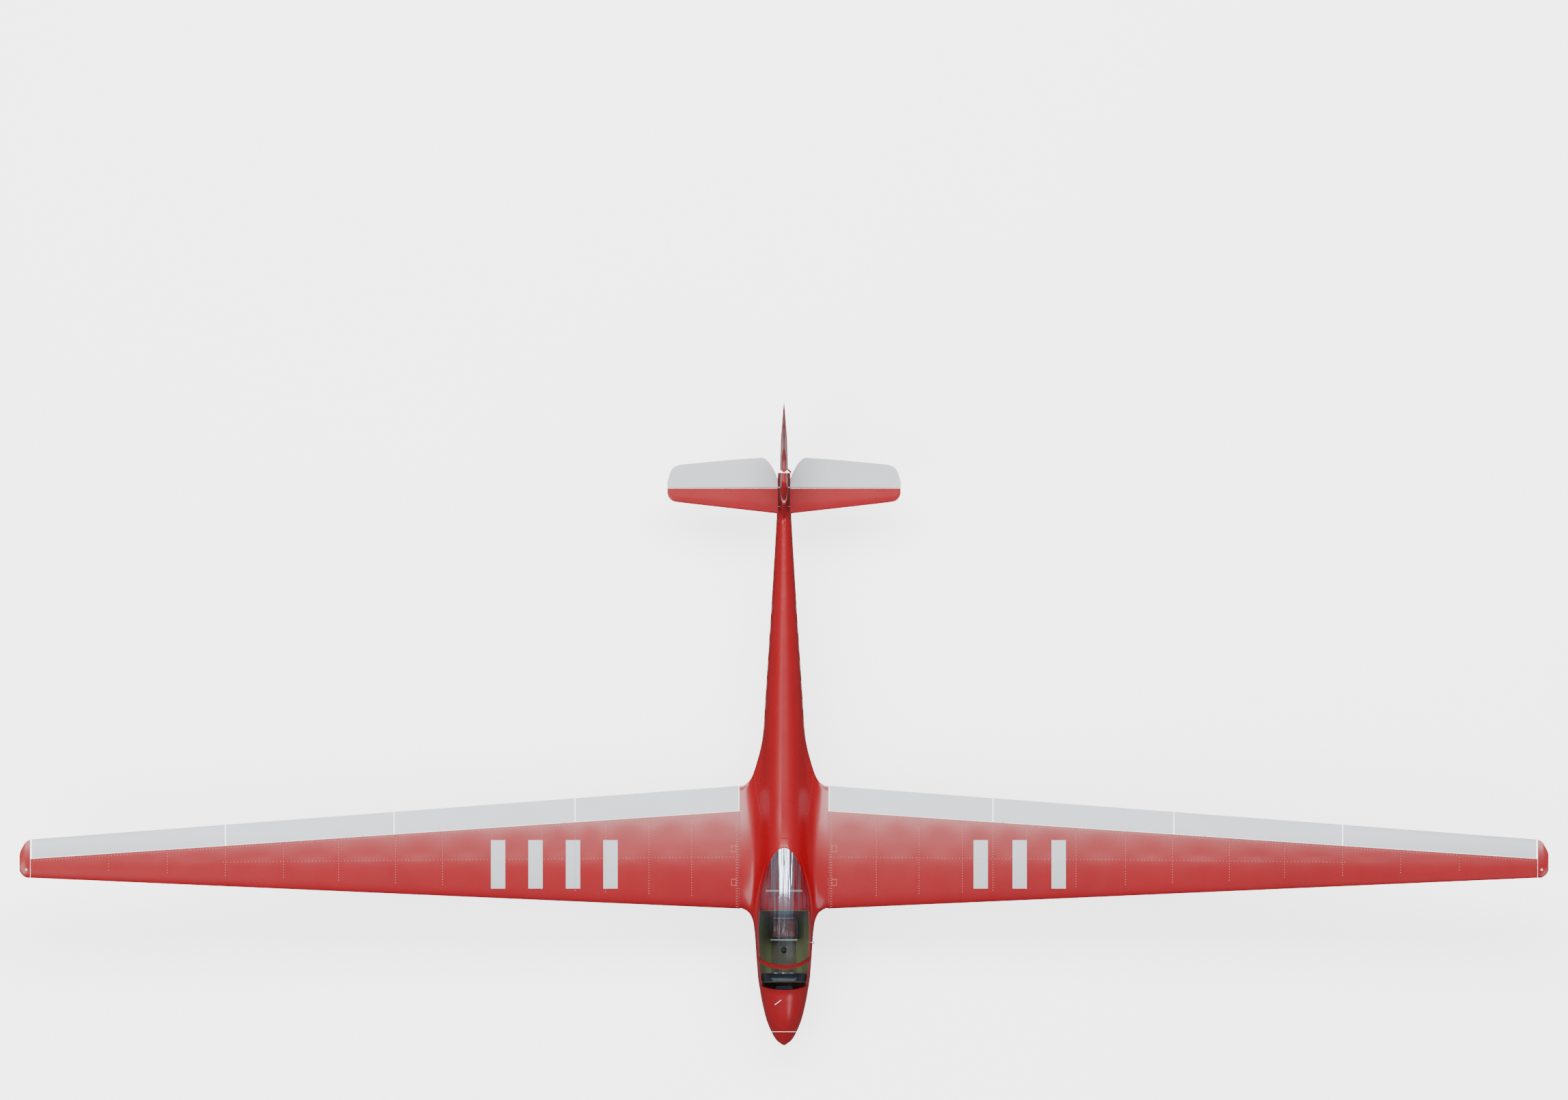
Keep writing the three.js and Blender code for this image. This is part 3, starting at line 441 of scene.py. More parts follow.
class Shader:
    """Short names for building a material's or a world's nodes."""

    def __init__(self, owner):
        owner.use_nodes = True
        self.owner, self.tree = owner, owner.node_tree
        self.surface = self.tree.nodes.get("Principled BSDF")
        coordinates = self.node("ShaderNodeTexCoord")
        self.place, self.direction = coordinates.outputs["Object"], coordinates.outputs["Generated"]
        self.facing = coordinates.outputs["Normal"]
        self.x, self.y, self.z = self.split(self.place)

    def node(self, kind, inputs=(), **settings):
        made = self.tree.nodes.new(kind)
        for key, value in settings.items():
            setattr(made, key, value)
        for key, value in dict(inputs).items():
            self.put(value, made.inputs[key])
        return made

    def put(self, value, socket):
        if isinstance(value, bpy.types.NodeSocket):
            self.tree.links.new(value, socket)
        else:
            socket.default_value = value

    def split(self, vector):
        return self.node("ShaderNodeSeparateXYZ", {0: vector}).outputs

    def math(self, operation, *values):
        return self.node("ShaderNodeMath", dict(enumerate(values)), operation=operation).outputs[0]

    def times(self, *values):
        total = values[0]
        for value in values[1:]:
            total = self.math("MULTIPLY", total, value)
        return total

    def noise(self, scale, detail=3.0, stretch=(1, 1, 1)):
        spread = self.node("ShaderNodeMapping", {"Scale": stretch, "Vector": self.place}).outputs[0]
        inputs = {"Scale": scale, "Detail": detail, "Vector": spread}
        return self.node("ShaderNodeTexNoise", inputs).outputs["Fac"]

    def blend(self, a, b, factor):
        return self.node("ShaderNodeMix", {0: factor, 6: a, 7: b}, data_type="RGBA").outputs[2]

    def between(self, value, low, high):
        return self.times(self.math("GREATER_THAN", value, low), self.math("LESS_THAN", value, high))

    def bars(self, value, start, pitch, count, width):
        """A row of bars along one coordinate, all in metres."""
        phase = self.math("FRACT", self.math("DIVIDE", self.math("SUBTRACT", value, start), pitch))
        inside = self.between(value, start, start + pitch * count)
        return self.times(self.math("LESS_THAN", phase, width / pitch), inside)

    def ranged(self, value, low, high, start=0.3, end=0.7, **settings):
        inputs = {"Value": value, "From Min": start, "From Max": end, "To Min": low, "To Max": high}
        return self.node("ShaderNodeMapRange", inputs, **settings).outputs["Result"]

    def bump(self, height, strength, distance=0.0004):
        inputs = {"Strength": strength, "Distance": distance, "Height": height}
        return self.node("ShaderNodeBump", inputs).outputs["Normal"]

    def set(self, **values):
        for key, value in values.items():
            self.put(value, self.surface.inputs[key.replace("_", " ")])


def new_shader(name):
    return Shader(bpy.data.materials.new(name))


def shade_of(colour, factor):
    return tuple(min(c * factor, 1.0) for c in colour[:3]) + (1.0,)


def cloudy(shader, colour, spread=0.12, scale=9.0):
    """A colour that drifts a little over the surface, with fine specks."""
    low, high, speck = (shade_of(colour, 1 + spread * share) for share in (-1, 1, 2))
    broad = shader.blend(low, high, shader.noise(scale, 4.0))
    return shader.blend(broad, speck, shader.times(shader.noise(200, 2.0), 0.1))


def paint(name, colour, roughness=0.3, coat=0.35, spread=0.1, weave=0.0, masks=()):
    """Sprayed paint; weave adds the cloth of a covered structure; masks are (function, colour) pairs, for
    painted stripes and for painted shade.
    """
    shader = new_shader(name)
    tone = cloudy(shader, colour, spread)
    for mask, mask_colour in masks:
        tone = shader.blend(tone, cloudy(shader, mask_colour, 0.03), mask(shader))
    edge = shader.node("ShaderNodeLayerWeight", {"Blend": 0.5}).outputs["Facing"]
    shadow = shader.times(shader.math("POWER", edge, 3.0), 0.8)
    gloss = shader.math("SUBTRACT", 1.0, edge)
    rough = shader.math("MULTIPLY_ADD", shader.noise(25, 1.0), roughness * 0.4, roughness * 0.8)
    shader.set(Base_Color=shader.blend(tone, shade_of(colour, 0.25), shadow), Roughness=rough)
    shader.set(Specular_IOR_Level=shader.times(gloss, 0.45))
    shader.set(Coat_Weight=shader.times(gloss, coat), Coat_Roughness=0.16)
    if weave:
        inputs = {"Scale": 260, "Distortion": 0.6, "Vector": shader.place}
        threads = [
            shader.node("ShaderNodeTexWave", inputs, wave_type="BANDS", bands_direction=way).outputs["Fac"]
            for way in "XY"
        ]
        cloth = shader.times(shader.math("ADD", *threads), 0.3)
        normal = shader.bump(shader.math("ADD", cloth, shader.noise(22, 4.0)), weave)
    else:
        normal = shader.bump(shader.noise(14, 2.0), 0.03)
    shader.set(Normal=normal)
    return shader.owner


def plain(name, colour, roughness, metal=0.0, spread=0.12, grain=300, bump=0.15, stretch=(1, 1, 1), coat=0.0):
    """A moulded, cast or turned finish; grain is the texture's scale, stretch shortens it along an axis."""
    shader = new_shader(name)
    tone = cloudy(shader, colour, spread, 30.0)
    texture = shader.noise(grain, 3.0, stretch)
    rough = shader.ranged(texture, max(roughness - 0.08, 0.02), min(roughness + 0.1, 1.0))
    shader.set(Base_Color=tone, Roughness=rough, Metallic=metal, Coat_Weight=coat)
    shader.set(Normal=shader.bump(texture, bump, 0.0002))
    return shader.owner


def wood(name, colour):
    shader = new_shader(name)
    rings = shader.noise(60, 5.0, (0.25, 8, 8))
    tone = shader.blend(shade_of(colour, 0.6), shade_of(colour, 1.15), rings)
    shader.set(Base_Color=tone, Roughness=shader.ranged(rings, 0.5, 0.75))
    shader.set(Normal=shader.bump(rings, 0.25, 0.0003))
    return shader.owner


def clear(name, tint, front_share, back_share):
    """Thin blown acrylic. Its gloss is streaked lengthwise, and stronger over the back of the canopy."""
    shader = new_shader(name)
    shader.tree.nodes.remove(shader.surface)
    streaks = shader.bump(shader.noise(1.0, 3.0, (75, 2.5, 2.5)), 0.5, 0.02)
    smear = shader.node("ShaderNodeTexNoise", {"Scale": 35}).outputs["Fac"]
    rough = shader.ranged(smear, 0.08, 0.2, 0, 1)
    gloss = {"Color": (0.50, 0.62, 0.74, 1.0), "Roughness": rough, "Normal": streaks}
    share = shader.ranged(shader.y, front_share, back_share, -0.43, -0.31, interpolation_type="SMOOTHSTEP")
    glance = shader.node("ShaderNodeLayerWeight", {"Blend": 0.12}).outputs["Fresnel"]
    inner = shader.node("ShaderNodeNewGeometry").outputs["Backfacing"]
    share = shader.times(shader.math("ADD", glance, share), shader.math("SUBTRACT", 1.0, inner))
    layers = {
        0: share,
        1: shader.node("ShaderNodeBsdfTransparent", {"Color": tint}).outputs[0],
        2: shader.node("ShaderNodeBsdfGlossy", gloss).outputs[0],
    }
    mixer = shader.node("ShaderNodeMixShader", layers)
    shader.put(mixer.outputs[0], shader.tree.nodes["Material Output"].inputs["Surface"])
    return shader.owner


RED = (0.26, 0.0010, 0.0050, 1.0)
# Painted shade for the undersides of the stitch heads.
PAINTED_SHADE_RED = (0.10, 0.02, 0.015, 1.0)
BRIGHT = (0.46, 0.004, 0.010, 1.0)
WHITE = (0.55, 0.57, 0.61, 1.0)
ORANGE = (0.50, 0.125, 0.035, 1.0)


def fuselage_bars(shader):
    """A plain row of white bars on the rear fuselage's sides."""
    row = shader.bars(shader.y, -0.010, 0.0375, 7, 0.019)
    side = shader.math("GREATER_THAN", shader.math("ABSOLUTE", shader.x), 0.008)
    return shader.times(row, shader.between(shader.z, 0.0765, 0.1185), side)


def fin_band(low, high):
    """A mask for a band of the fin between two heights."""
    return lambda shader: shader.times(
        shader.math("GREATER_THAN", shader.y, 0.42), shader.between(shader.z, low, high)
    )


def wing_bars(shader):
    """Plain white bars on each wing: four on the right, three on the left."""
    across = shader.between(shader.y, -0.324, -0.229)
    right = shader.bars(shader.x, -0.575, 0.0735, 4, 0.028)
    left = shader.bars(shader.x, 0.372, 0.0765, 3, 0.028)
    return shader.times(across, shader.math("ADD", right, left))


def rudder_panel(shader):
    """The white panel: inside every edge of an outline in (y, z), with soft corners."""
    corners = [(495, 159), (495, 277), (541, 277), (595, 212), (623, 158), (623, 136), (607, 123)]
    worst = None
    for (y0, z0), (y1, z1) in zip(corners, corners[1:] + corners[:1]):
        length = math.hypot(y1 - y0, z1 - z0)
        ny, nz = -(z1 - z0) / length, (y1 - y0) / length
        part = shader.math("MULTIPLY_ADD", shader.z, nz, -(ny * y0 + nz * z0) * 0.001)
        edge = shader.math("MULTIPLY_ADD", shader.y, ny, part)
        worst = edge if worst is None else shader.math("SMOOTH_MAX", worst, edge, 0.008)
    return shader.math("LESS_THAN", worst, -0.0004)


def rudder_band(shader):
    return shader.times(rudder_panel(shader), shader.between(shader.z, 0.211, 0.225))


def underside_shade(shader):
    """A mask for faces that look down, where painted shade goes."""
    return shader.math("LESS_THAN", shader.split(shader.facing)[2], -0.15)


fin_stripes = [(fin_band(0.2104, 0.2265), WHITE), (fin_band(0.1976, 0.2104), BRIGHT)]
panel_colours = [(rudder_panel, (0.56, 0.56, 0.58, 1.0)), (rudder_band, ORANGE)]
# The wing covering's downward faces take a dark red-brown: painted shade.
wing_bars_and_shade = [(underside_shade, (0.085, 0.010, 0.006, 1.0)), (wing_bars, WHITE)]

red_body = paint("red_gelcoat", RED, masks=[(fuselage_bars, WHITE), *fin_stripes])
red_plain = paint("red_paint", RED)
red_wing = paint("red_covering", RED, 0.36, 0.3, 0.12, 0.22, wing_bars_and_shade)
red_tail = paint("red_tail_covering", RED, 0.36, 0.3, 0.12, 0.18)
# The white covering's downward faces take a tan colour: painted shade, warmed as by light from the ground.
white_flap = paint("white_covering", WHITE, 0.4, 0.35, 0.03, 0.15, [(underside_shade, (0.24, 0.18, 0.12, 1.0))])
white_tail = paint("white_tail_covering", WHITE, 0.4, 0.35, 0.03, 0.18)
rudder_paint = paint("rudder_paint", RED, 0.36, 0.45, 0.08, 0.15, panel_colours)
# Stitch heads are darker where they face down: painted shade.
stitch = paint("stitch_heads", (0.60, 0.27, 0.26, 1.0), 0.5, 0.0, masks=[(underside_shade, PAINTED_SHADE_RED)])
rivet = plain("rivet_heads", (0.40, 0.075, 0.075, 1.0), 0.4, 0.0, 0.1)
dark_line = plain("seam_shadow", (0.05, 0.004, 0.004, 1.0), 0.6)
olive_wood = plain("skid_wood", (0.030, 0.026, 0.014, 1.0), 0.75, 0.0, 0.25, 180, 0.5, (8, 0.5, 8))
sole_metal = plain("sole_metal", (0.11, 0.10, 0.075, 1.0), 0.5, 0.6, 0.15, 500, 0.4, (12, 0.3, 12))
cockpit_green = plain("cockpit_green", rgb(112, 115, 76), 0.75, 0.0, 0.18, 240, 0.4)
floor_grey = plain("cockpit_floor", rgb(98, 92, 76), 0.8, 0.0, 0.15, 200, 0.5)
leather = plain("seat_leather", rgb(128, 66, 54), 0.55, 0.0, 0.22, 700, 0.6)
black = plain("black_plastic", rgb(30, 31, 34), 0.5, 0.0, 0.2, 900, 0.35)
navy = plain("instrument_black", rgb(20, 24, 38), 0.45, 0.0, 0.2, 700, 0.3)
pale_plastic = plain("pale_plastic", rgb(206, 206, 202), 0.45, 0.0, 0.05, 500, 0.1)
steel = plain("bright_steel", rgb(176, 178, 180), 0.3, 1.0, 0.1, 600, 0.2, (1, 14, 1))
aluminium = plain("turned_aluminium", rgb(190, 191, 190), 0.35, 1.0, 0.08, 500, 0.25)
lead = plain("cast_lead", rgb(120, 123, 126), 0.6, 0.9, 0.2, 120, 0.6)
battery_blue = plain("battery_wrap", rgb(34, 66, 130), 0.3, 0.0, 0.12, 150, 0.15, coat=0.4)
rubber = plain("tyre_rubber", rgb(30, 29, 27), 0.85, 0.0, 0.3, 260, 0.5)
tail_green = plain("tail_skid_paint", rgb(58, 72, 62), 0.5, 0.0, 0.15, 160, 0.3, coat=0.2)
bare_wood = wood("bare_wood", rgb(196, 156, 104))
carbon = plain("carbon_tube", rgb(34, 35, 38), 0.35, 0.0, 0.3, 900, 0.3, (1, 1, 6), coat=0.5)
acrylic = clear("canopy_acrylic", (0.95, 0.97, 0.98, 1.0), 0.03, 0.55)

# ---- the moulded fuselage


def hull_field(x, y, z):
    half, top, bottom, waist = (along(HULL, y, c) for c in (1, 2, 3, 4))
    up = (z - waist) / np.where(z > waist, top - waist, waist - bottom)
    side = np.abs(x) / (half * (1 - PINCH * np.clip(up, 0, 1)))
    upper = np.sqrt(side**2 + up**2)
    lower = (side**BELLY + np.abs(up) ** BELLY) ** (1 / BELLY)
    gauge = np.maximum(np.where(up > 0, upper, lower), 1e-3)
    reach = np.sqrt(x**2 + (z - waist) ** 2)
    return reach - reach / gauge


def stub_field(x, y, z):
    """The wing's root section, growing ahead, behind and below as it nears the hull."""
    spread = np.clip((86.6 - np.abs(x)) / 46, 0, 1.3) ** 2
    front = WING["leading"][0] + 1.6 - 58 * spread
    back = WING["trailing"][0] - 1.6 + 66 * spread
    u = np.clip((y - front) / (back - front), 0, 1)
    swell = np.sqrt(np.maximum(np.sin(np.pi * u), 0))
    at = WING["leading"][0] + u * (WING["trailing"][0] - WING["leading"][0])
    upper = wing_z(WING["root"], at, 1) + 10 * spread * swell
    lower = wing_z(WING["root"], at, -1) - 30 * spread * swell
    half, middle = np.maximum((upper - lower) / 2, 1.6), (upper + lower) / 2
    slope = np.clip(np.abs(np.gradient(half, axis=1)) / 2.5, 0, 3)
    beyond = np.maximum(front - y, 0) + np.maximum(y - back, 0)
    inside = (np.abs(z - middle) - half) / np.sqrt(1 + slope**2)
    return np.where(beyond > 0, np.hypot(beyond, z - middle) - half, inside)


def fin_field(x, y, z):
    front, half = along(FIN, z, 1), along(FIN, z, 2)
    v = np.clip((y - front) / (0.4 * (HINGE_POST - front)), 0, 1)
    thick = np.maximum(half * np.sqrt(1 - (1 - v) ** 2), 1.7)
    ahead = np.maximum(front + 2.6 - y, 0)
    near = np.where(ahead > 0, np.hypot(ahead, x) - 1.7, np.abs(x) - thick)
    return np.maximum(np.maximum(near, z - 305.3), 100 - z)


def outline_field(points, y, z):
    """Distance to a closed (y, z) outline, negative inside."""
    nearest = np.full(np.broadcast(y, z).shape, 1e9)
    inside = np.zeros(nearest.shape, bool)
    for (y0, z0), (y1, z1) in zip(points, points[1:] + points[:1]):
        ey, ez = y1 - y0, z1 - z0
        t = np.clip(((y - y0) * ey + (z - z0) * ez) / (ey * ey + ez * ez), 0, 1)
        nearest = np.minimum(nearest, np.hypot(y - y0 - t * ey, z - z0 - t * ez))
        if z0 != z1:
            crosses = ((z0 > z) != (z1 > z)) & (y < (y1 - y0) * (z - z0) / (z1 - z0) + y0)
            inside ^= crosses
    return np.where(inside, -nearest, nearest)


def smooth_min(a, b, radius):
    """The lower of two fields, with a fillet where they meet."""
    blend = np.maximum(radius - np.abs(a - b), 0) / radius
    return np.minimum(a, b) - blend * blend * radius / 4


def body_field(x, y, z):
    fairing = np.maximum(outline_field(FAIRING, y, z), np.abs(x) - 16.8)
    reach = (24 + 20 * np.clip((128 - z) / 20, 0, 1)) * np.clip((86.6 - np.abs(x)) / 34, 0.02, 1)
    whole = smooth_min(hull_field(x, y, z), stub_field(x, y, z), reach)
    whole = smooth_min(whole, fin_field(x, y, z), 15)
    return smooth_min(whole, fairing, 5)


def surface_net(field, origin, step):
    """The zero surface of a sampled field as quads, with one point in each cell that it crosses."""
    inside = field < 0
    cells = tuple(n - 1 for n in field.shape)
    corners = list(np.ndindex(2, 2, 2))
    axes = np.eye(3, dtype=int)
    total = np.zeros(cells, np.int8)
    for corner in corners:
        total += inside[tuple(slice(c, c + n) for c, n in zip(corner, cells))]
    cell = np.argwhere((total > 0) & (total < 8))
    number = np.full(cells, -1, np.int64)
    number[tuple(cell.T)] = np.arange(len(cell))
    place, hits = np.zeros((len(cell), 3)), np.zeros(len(cell))
    value = {corner: field[tuple((cell + corner).T)] for corner in corners}
    for a in corners:
        for way in axes[np.array(a) == 0]:
            fa, fb = value[a], value[tuple(a + way)]
            cross = (fa < 0) != (fb < 0)
            t = np.where(cross, fa / np.where(cross, fa - fb, 1), 0)
            place += np.where(cross[:, None], np.array(a) + t[:, None] * way, 0)
            hits += cross
    quads = []
    for axis in range(3):
        low = [slice(0, n) if other == axis else slice(1, n) for other, n in enumerate(cells)]
        high = [slice(1, n + 1) if other == axis else slice(1, n) for other, n in enumerate(cells)]
        edge = np.argwhere(inside[tuple(low)] != inside[tuple(high)]) + (1 - axes[axis])
        step_u, step_v = axes[(axis + 1) % 3], axes[(axis + 2) % 3]
        ring = [edge - step_u - step_v, edge - step_v, edge, edge - step_u]
        quads.append(np.stack([number[tuple(c.T)] for c in ring], axis=1))
    return settle(cell + place / hits[:, None], field) * step + origin, np.concatenate(quads)


def settle(verts, field):
    """Moves points, in grid units, onto the zero surface of the field between samples."""
    slopes = np.gradient(field)
    for _ in range(3):
        slope = np.stack([between_samples(each, verts) for each in slopes], axis=1)
        pace = between_samples(field, verts) / np.maximum((slope**2).sum(axis=1), 0.05)
        verts = verts - np.clip(pace[:, None] * slope, -0.6, 0.6)
    return verts


def between_samples(field, points):
    base = np.clip(np.floor(points).astype(int), 0, np.array(field.shape) - 2)
    part = np.clip(points - base, 0, 1)
    total = np.zeros(len(points))
    for corner in np.ndindex(2, 2, 2):
        weight = np.abs(1 - np.array(corner) - part).prod(axis=1)
        total += weight * field[tuple((base + corner).T)]
    return total


def body_solid():
    step = 2.1
    origin = np.array([-95.0, -612.0, 14.0])
    grid = [np.arange(o, end, step) for o, end in zip(origin, (95.1, 500, 314))]
    x, y, z = np.meshgrid(*grid, indexing="ij", sparse=True)
    field = body_field(x, y, z)
    field[:, [0, -1], :] = 1
    field[:, :, [0, -1]] = 1
    field[[0, -1], :, :] = 1
    verts, quads = surface_net(field, origin, step)
    for _ in range(2):
        total, count = np.zeros_like(verts), np.zeros((len(verts), 1))
        for a, b in ((0, 1), (1, 2), (2, 3), (3, 0)):
            for here, there in ((a, b), (b, a)):
                np.add.at(total, quads[:, here], verts[quads[:, there]])
                np.add.at(count, quads[:, here], 1)
        verts = verts * 0.45 + total / count * 0.55
    return mesh_object("fuselage_skin", verts, quads.tolist(), 50)


def hull_solid(start, end, inset, count=96, pitch=6.0):
    steps = max(int((end - start) / pitch), 2)
    return loft("hull", [hull_ring(y, inset, count) for y in np.linspace(start, end, steps + 1)])


def joiner_bar(radius, reach):
    rise = (WING["height"][1] - WING["height"][0]) / (WING["tip"] - WING["root"])
    middle = WING["height"][0] - rise * WING["root"] + 6
    far = middle + rise * reach
    return [bore((-0.5 * s, JOINER_Y, middle), (s * reach, JOINER_Y, far), radius, 24) for s in (1, -1)]


def make_fuselage():
    skin = body_solid()
    keep(skin, block(-87.6, 87.6, CAP_SEAM + GAP, HINGE_POST, 0, 400))
    cut(skin, block(86.6, 95, -420, -171.4, 0, 400), block(-95, -86.6, -420, -171.4, 0, 400))
    room = hull_solid(-607, 494, WALL)
    cut(room, slab(above_seam(BULKHEAD, -200, -3)))
    cut(skin, room, slab(above_seam(CAP_SEAM - 3, -225, 0)), block(-13, 13, -311, -257, 10, 52))
    cut(skin, *joiner_bar(5 + GAP, 140))
    cut(skin, block(-5.6, 3, 448, 478, 108, 135.6), block(9.6, 16, 388, 500, 102, 105.2))
    cut(skin, block(4, 18, 477, 500, 103.4, 108.4))
    cut(skin, bore((-20, TAIL["hinge"], TAIL["z"]), (20, TAIL["hinge"], TAIL["z"]), 3))
    cut(skin, bore((-20, TAIL_JOINER_Y, TAIL["z"]), (20, TAIL_JOINER_Y, TAIL["z"]), 1.9))
    shade(skin)
    finish_piece(skin, red_body, "fuselage_shell")


make_fuselage()


def make_fin_edge():
    """The fin's rounded leading edge, from the top of the root fairing to the tip."""
    rings = []
    back = np.linspace(0, 1, 14) ** 2 * 11
    for z in np.linspace(142, 302, 81):
        front, half = along(FIN, z, 1), along(FIN, z, 2)
        v = np.minimum(back / (0.4 * (HINGE_POST - front)), 1)
        thick = half * np.sqrt(1 - (1 - v) ** 2) + 0.25 * (1 - back / 11) + 0.08
        left = np.stack([thick, front + back, np.full(14, z)], axis=1)
        rings.append(np.concatenate([left[::-1], left * [-1, 1, 1]]))
    finish_piece(loft("fin_edge_skin", rings, 60), red_body)


make_fin_edge()


def skin_piece(name, thickness, outline):
    """A piece of the hull's skin inside an outline of (y, z) points."""
    piece = hull_solid(-606, -205, 0, 128, 4)
    cut(piece, hull_solid(-610, -200, thickness, 128, 4))
    keep(piece, slab(outline))
    piece.name = name
    shade(piece)
    return piece


def make_nose():
    stops = [-630.6, -630, -628, -625, -622, -618, -614, -610, CAP_SEAM]
    rings = [hull_ring(y, 0, 96) for y in stops]
    rings[0] = rings[0].mean(axis=0) + (rings[0] - rings[0].mean(axis=0)) * [0.6, 0, 0.6] + [0, -0.6, 0]
    cap = loft("nose_cap_skin", rings, 50)
    cut(cap, block(-2.6, 2.6, -622, -600, 30, 56))
    finish_piece(cap, red_plain, "nose_cap")
    front = CAP_SEAM + GAP
    seam = seam_points(front, SCREEN_FOOT, GAP)
    deck = skin_piece("nose_deck_skin", WALL, [*seam, (screen_front(160, -GAP), 160), (front, 160)])
    finish_piece(deck, red_plain, "nose_deck")


make_nose()


def make_windscreen():
    front, foot = SCREEN_FOOT + GAP, hoop_foot(GAP, -1)
    rail = [*seam_points(front, foot, GAP), (hoop_foot(3.6, -1), seam_at(foot) + 3.6)]
    rail.append((front, seam_at(front) + 3.6))
    bow = [(hoop_y(z, shift), z) for z, shift in ((115, -4), (115, 0), (240, 0), (240, -4))]
    hoop = skin_piece("windscreen_hoop_skin", 3, bow)
    keep(hoop, slab(above_seam(-530, -440, GAP)))
    boolean(hoop, "UNION", skin_piece("rail", 3, rail))
    shade(hoop)
    finish_piece(hoop, red_plain, "windscreen_hoop")
    lift = 4.0
    start = screen_front(seam_at(SCREEN_FOOT) + lift, GAP)
    end = hoop_foot(lift, -4.4)
    outline = [*seam_points(start, end, lift), (hoop_y(230, -4.4), 230), (screen_front(230, GAP), 230)]
    glass = skin_piece("windscreen_acrylic", 1.5, outline)
    finish_piece(glass, acrylic, "windscreen_glass")
    rim = [(screen_front(z, s), z) for z, s in ((100, -2.6), (100, -0.6), (160, -0.6), (160, -2.6))]
    band = hull_solid(-540, -500, -0.5, 128, 3)
    cut(band, hull_solid(-545, -495, 0.3, 128, 3))
    keep(band, slab(rim), slab(above_seam(-560, -440, 1.0)))
    band.name = "windscreen_front_rim"
    shade(band)
    finish_piece(band, red_plain)


make_windscreen()


def make_canopy():
    ring = skin_piece("canopy_frame_skin", 3.4, above_seam(-520, -200, 0))
    keep(ring, slab(behind_hoop(GAP, GAP, -227)))
    cut(ring, slab(behind_hoop(8.5, GAP + 3.6, -236)))
    shade(ring)
    finish_piece(ring, red_plain, "canopy_frame", "canopy")
    glass = skin_piece("canopy_acrylic", 1.5, behind_hoop(8.9, 4.4, -237.5))
    finish_piece(glass, acrylic, "canopy_glass", "canopy")


make_canopy()

# ---- wings


def spaced(start, end, pitch):
    return np.linspace(start, end, max(int(abs(end - start) / pitch), 1) + 1)


def refine(knots, parts):
    """The knots, with each space between them cut into equal parts."""
    places = [knots[0]]
    for a, b in zip(knots, knots[1:]):
        places.extend(np.linspace(a, b, parts + 1)[1:].tolist())
    return places


def span_stations(start, end, parts=10):
    return refine([start, *[x for x in RIBS if start + 3 < x < end - 3], end], parts)


def bay(place, ribs):
    """How far into its bay a place is: nothing at a rib, one midway between two ribs."""
    row = min(max(int(np.searchsorted(ribs, place)) - 1, 0), len(ribs) - 2)
    t = (place - ribs[row]) / (ribs[row + 1] - ribs[row])
    return math.sin(math.pi * min(max(t, 0), 1)) ** 2


def wing_bay(x):
    return bay(x, [WING["root"], *RIBS, WING["tip"]])


def covering_dip(x, y, depth):
    """How far the covering dips: nothing over the ribs, ahead of the spar and at the hinge line."""
    place = wing_at(x)
    share = (y - place["leading"]) / (place["trailing"] - place["leading"])
    return depth * wing_bay(x) * ease((share - 0.36) / 0.14) * ease((place["hinge"] - 2 - y) / 45)


def section_ring(x, y, high, low, skip=1):
    """A closed section at one place along the span, from its upper and lower lines."""
    top, bottom = (np.stack([np.full(len(y), x), y, z], axis=1) for z in (high, low))
    return np.concatenate([top[::-1], bottom[skip:]])


def wing_ring(side, x, inset, nose, rear, count, sag=0.0):
    place = wing_at(x)
    start, end = place["leading"] + nose, place["hinge"] - rear
    t = (1 - np.cos(np.linspace(0, math.pi, count))) / 2 * 0.6 + np.linspace(0, 1, count) ** 1.6 * 0.4
    y = start + (end - start) * t
    dip = inset + covering_dip(x, y, sag)
    return section_ring(side * x, y, wing_z(x, y, 1) - dip, wing_z(x, y, -1) + dip, 0 if nose else 1)


def servo_slot(side, place):
    x, y = place
    low = float(wing_z(x, y, -1))
    return block(side * x - 2.5, side * x + 2.5, y - 9, y + 7, low - 8, low + 2)


def make_wing_skin(word, side):
    rings = [wing_ring(side, x, 0, 0, 0.35, 48, 0.9) for x in span_stations(WING["root"], WING["tip"])]
    outer = loft(f"{word}_wing_covering", rings, 32)
    inside = [wing_ring(side, x, 1.5, 3.0, 3.5, 24) for x in span_stations(83, 1474.6, 2)]
    cut(outer, loft("room", inside), servo_slot(side, FLAP_SERVO), servo_slot(side, AILERON_SERVO))
    shade(outer)
    finish_piece(outer, red_wing, f"{word}_wing_skin")


def make_root_gap_shade(word, side):
    """A dark sheet in the joint between the root fairing and the wing: painted shade for the gap, which also
    closes it.
    """
    rings = [wing_ring(side, x, 0.15, 0.3, 1.2, 40) for x in (86.61, 86.99)]
    gap_shade = loft(f"{word}_root_seal", rings, 60)
    cut(gap_shade, bore((side * 80, JOINER_Y, 124.5), (side * 95, JOINER_Y, 125.6), 7, 24))
    finish_piece(gap_shade, dark_line)


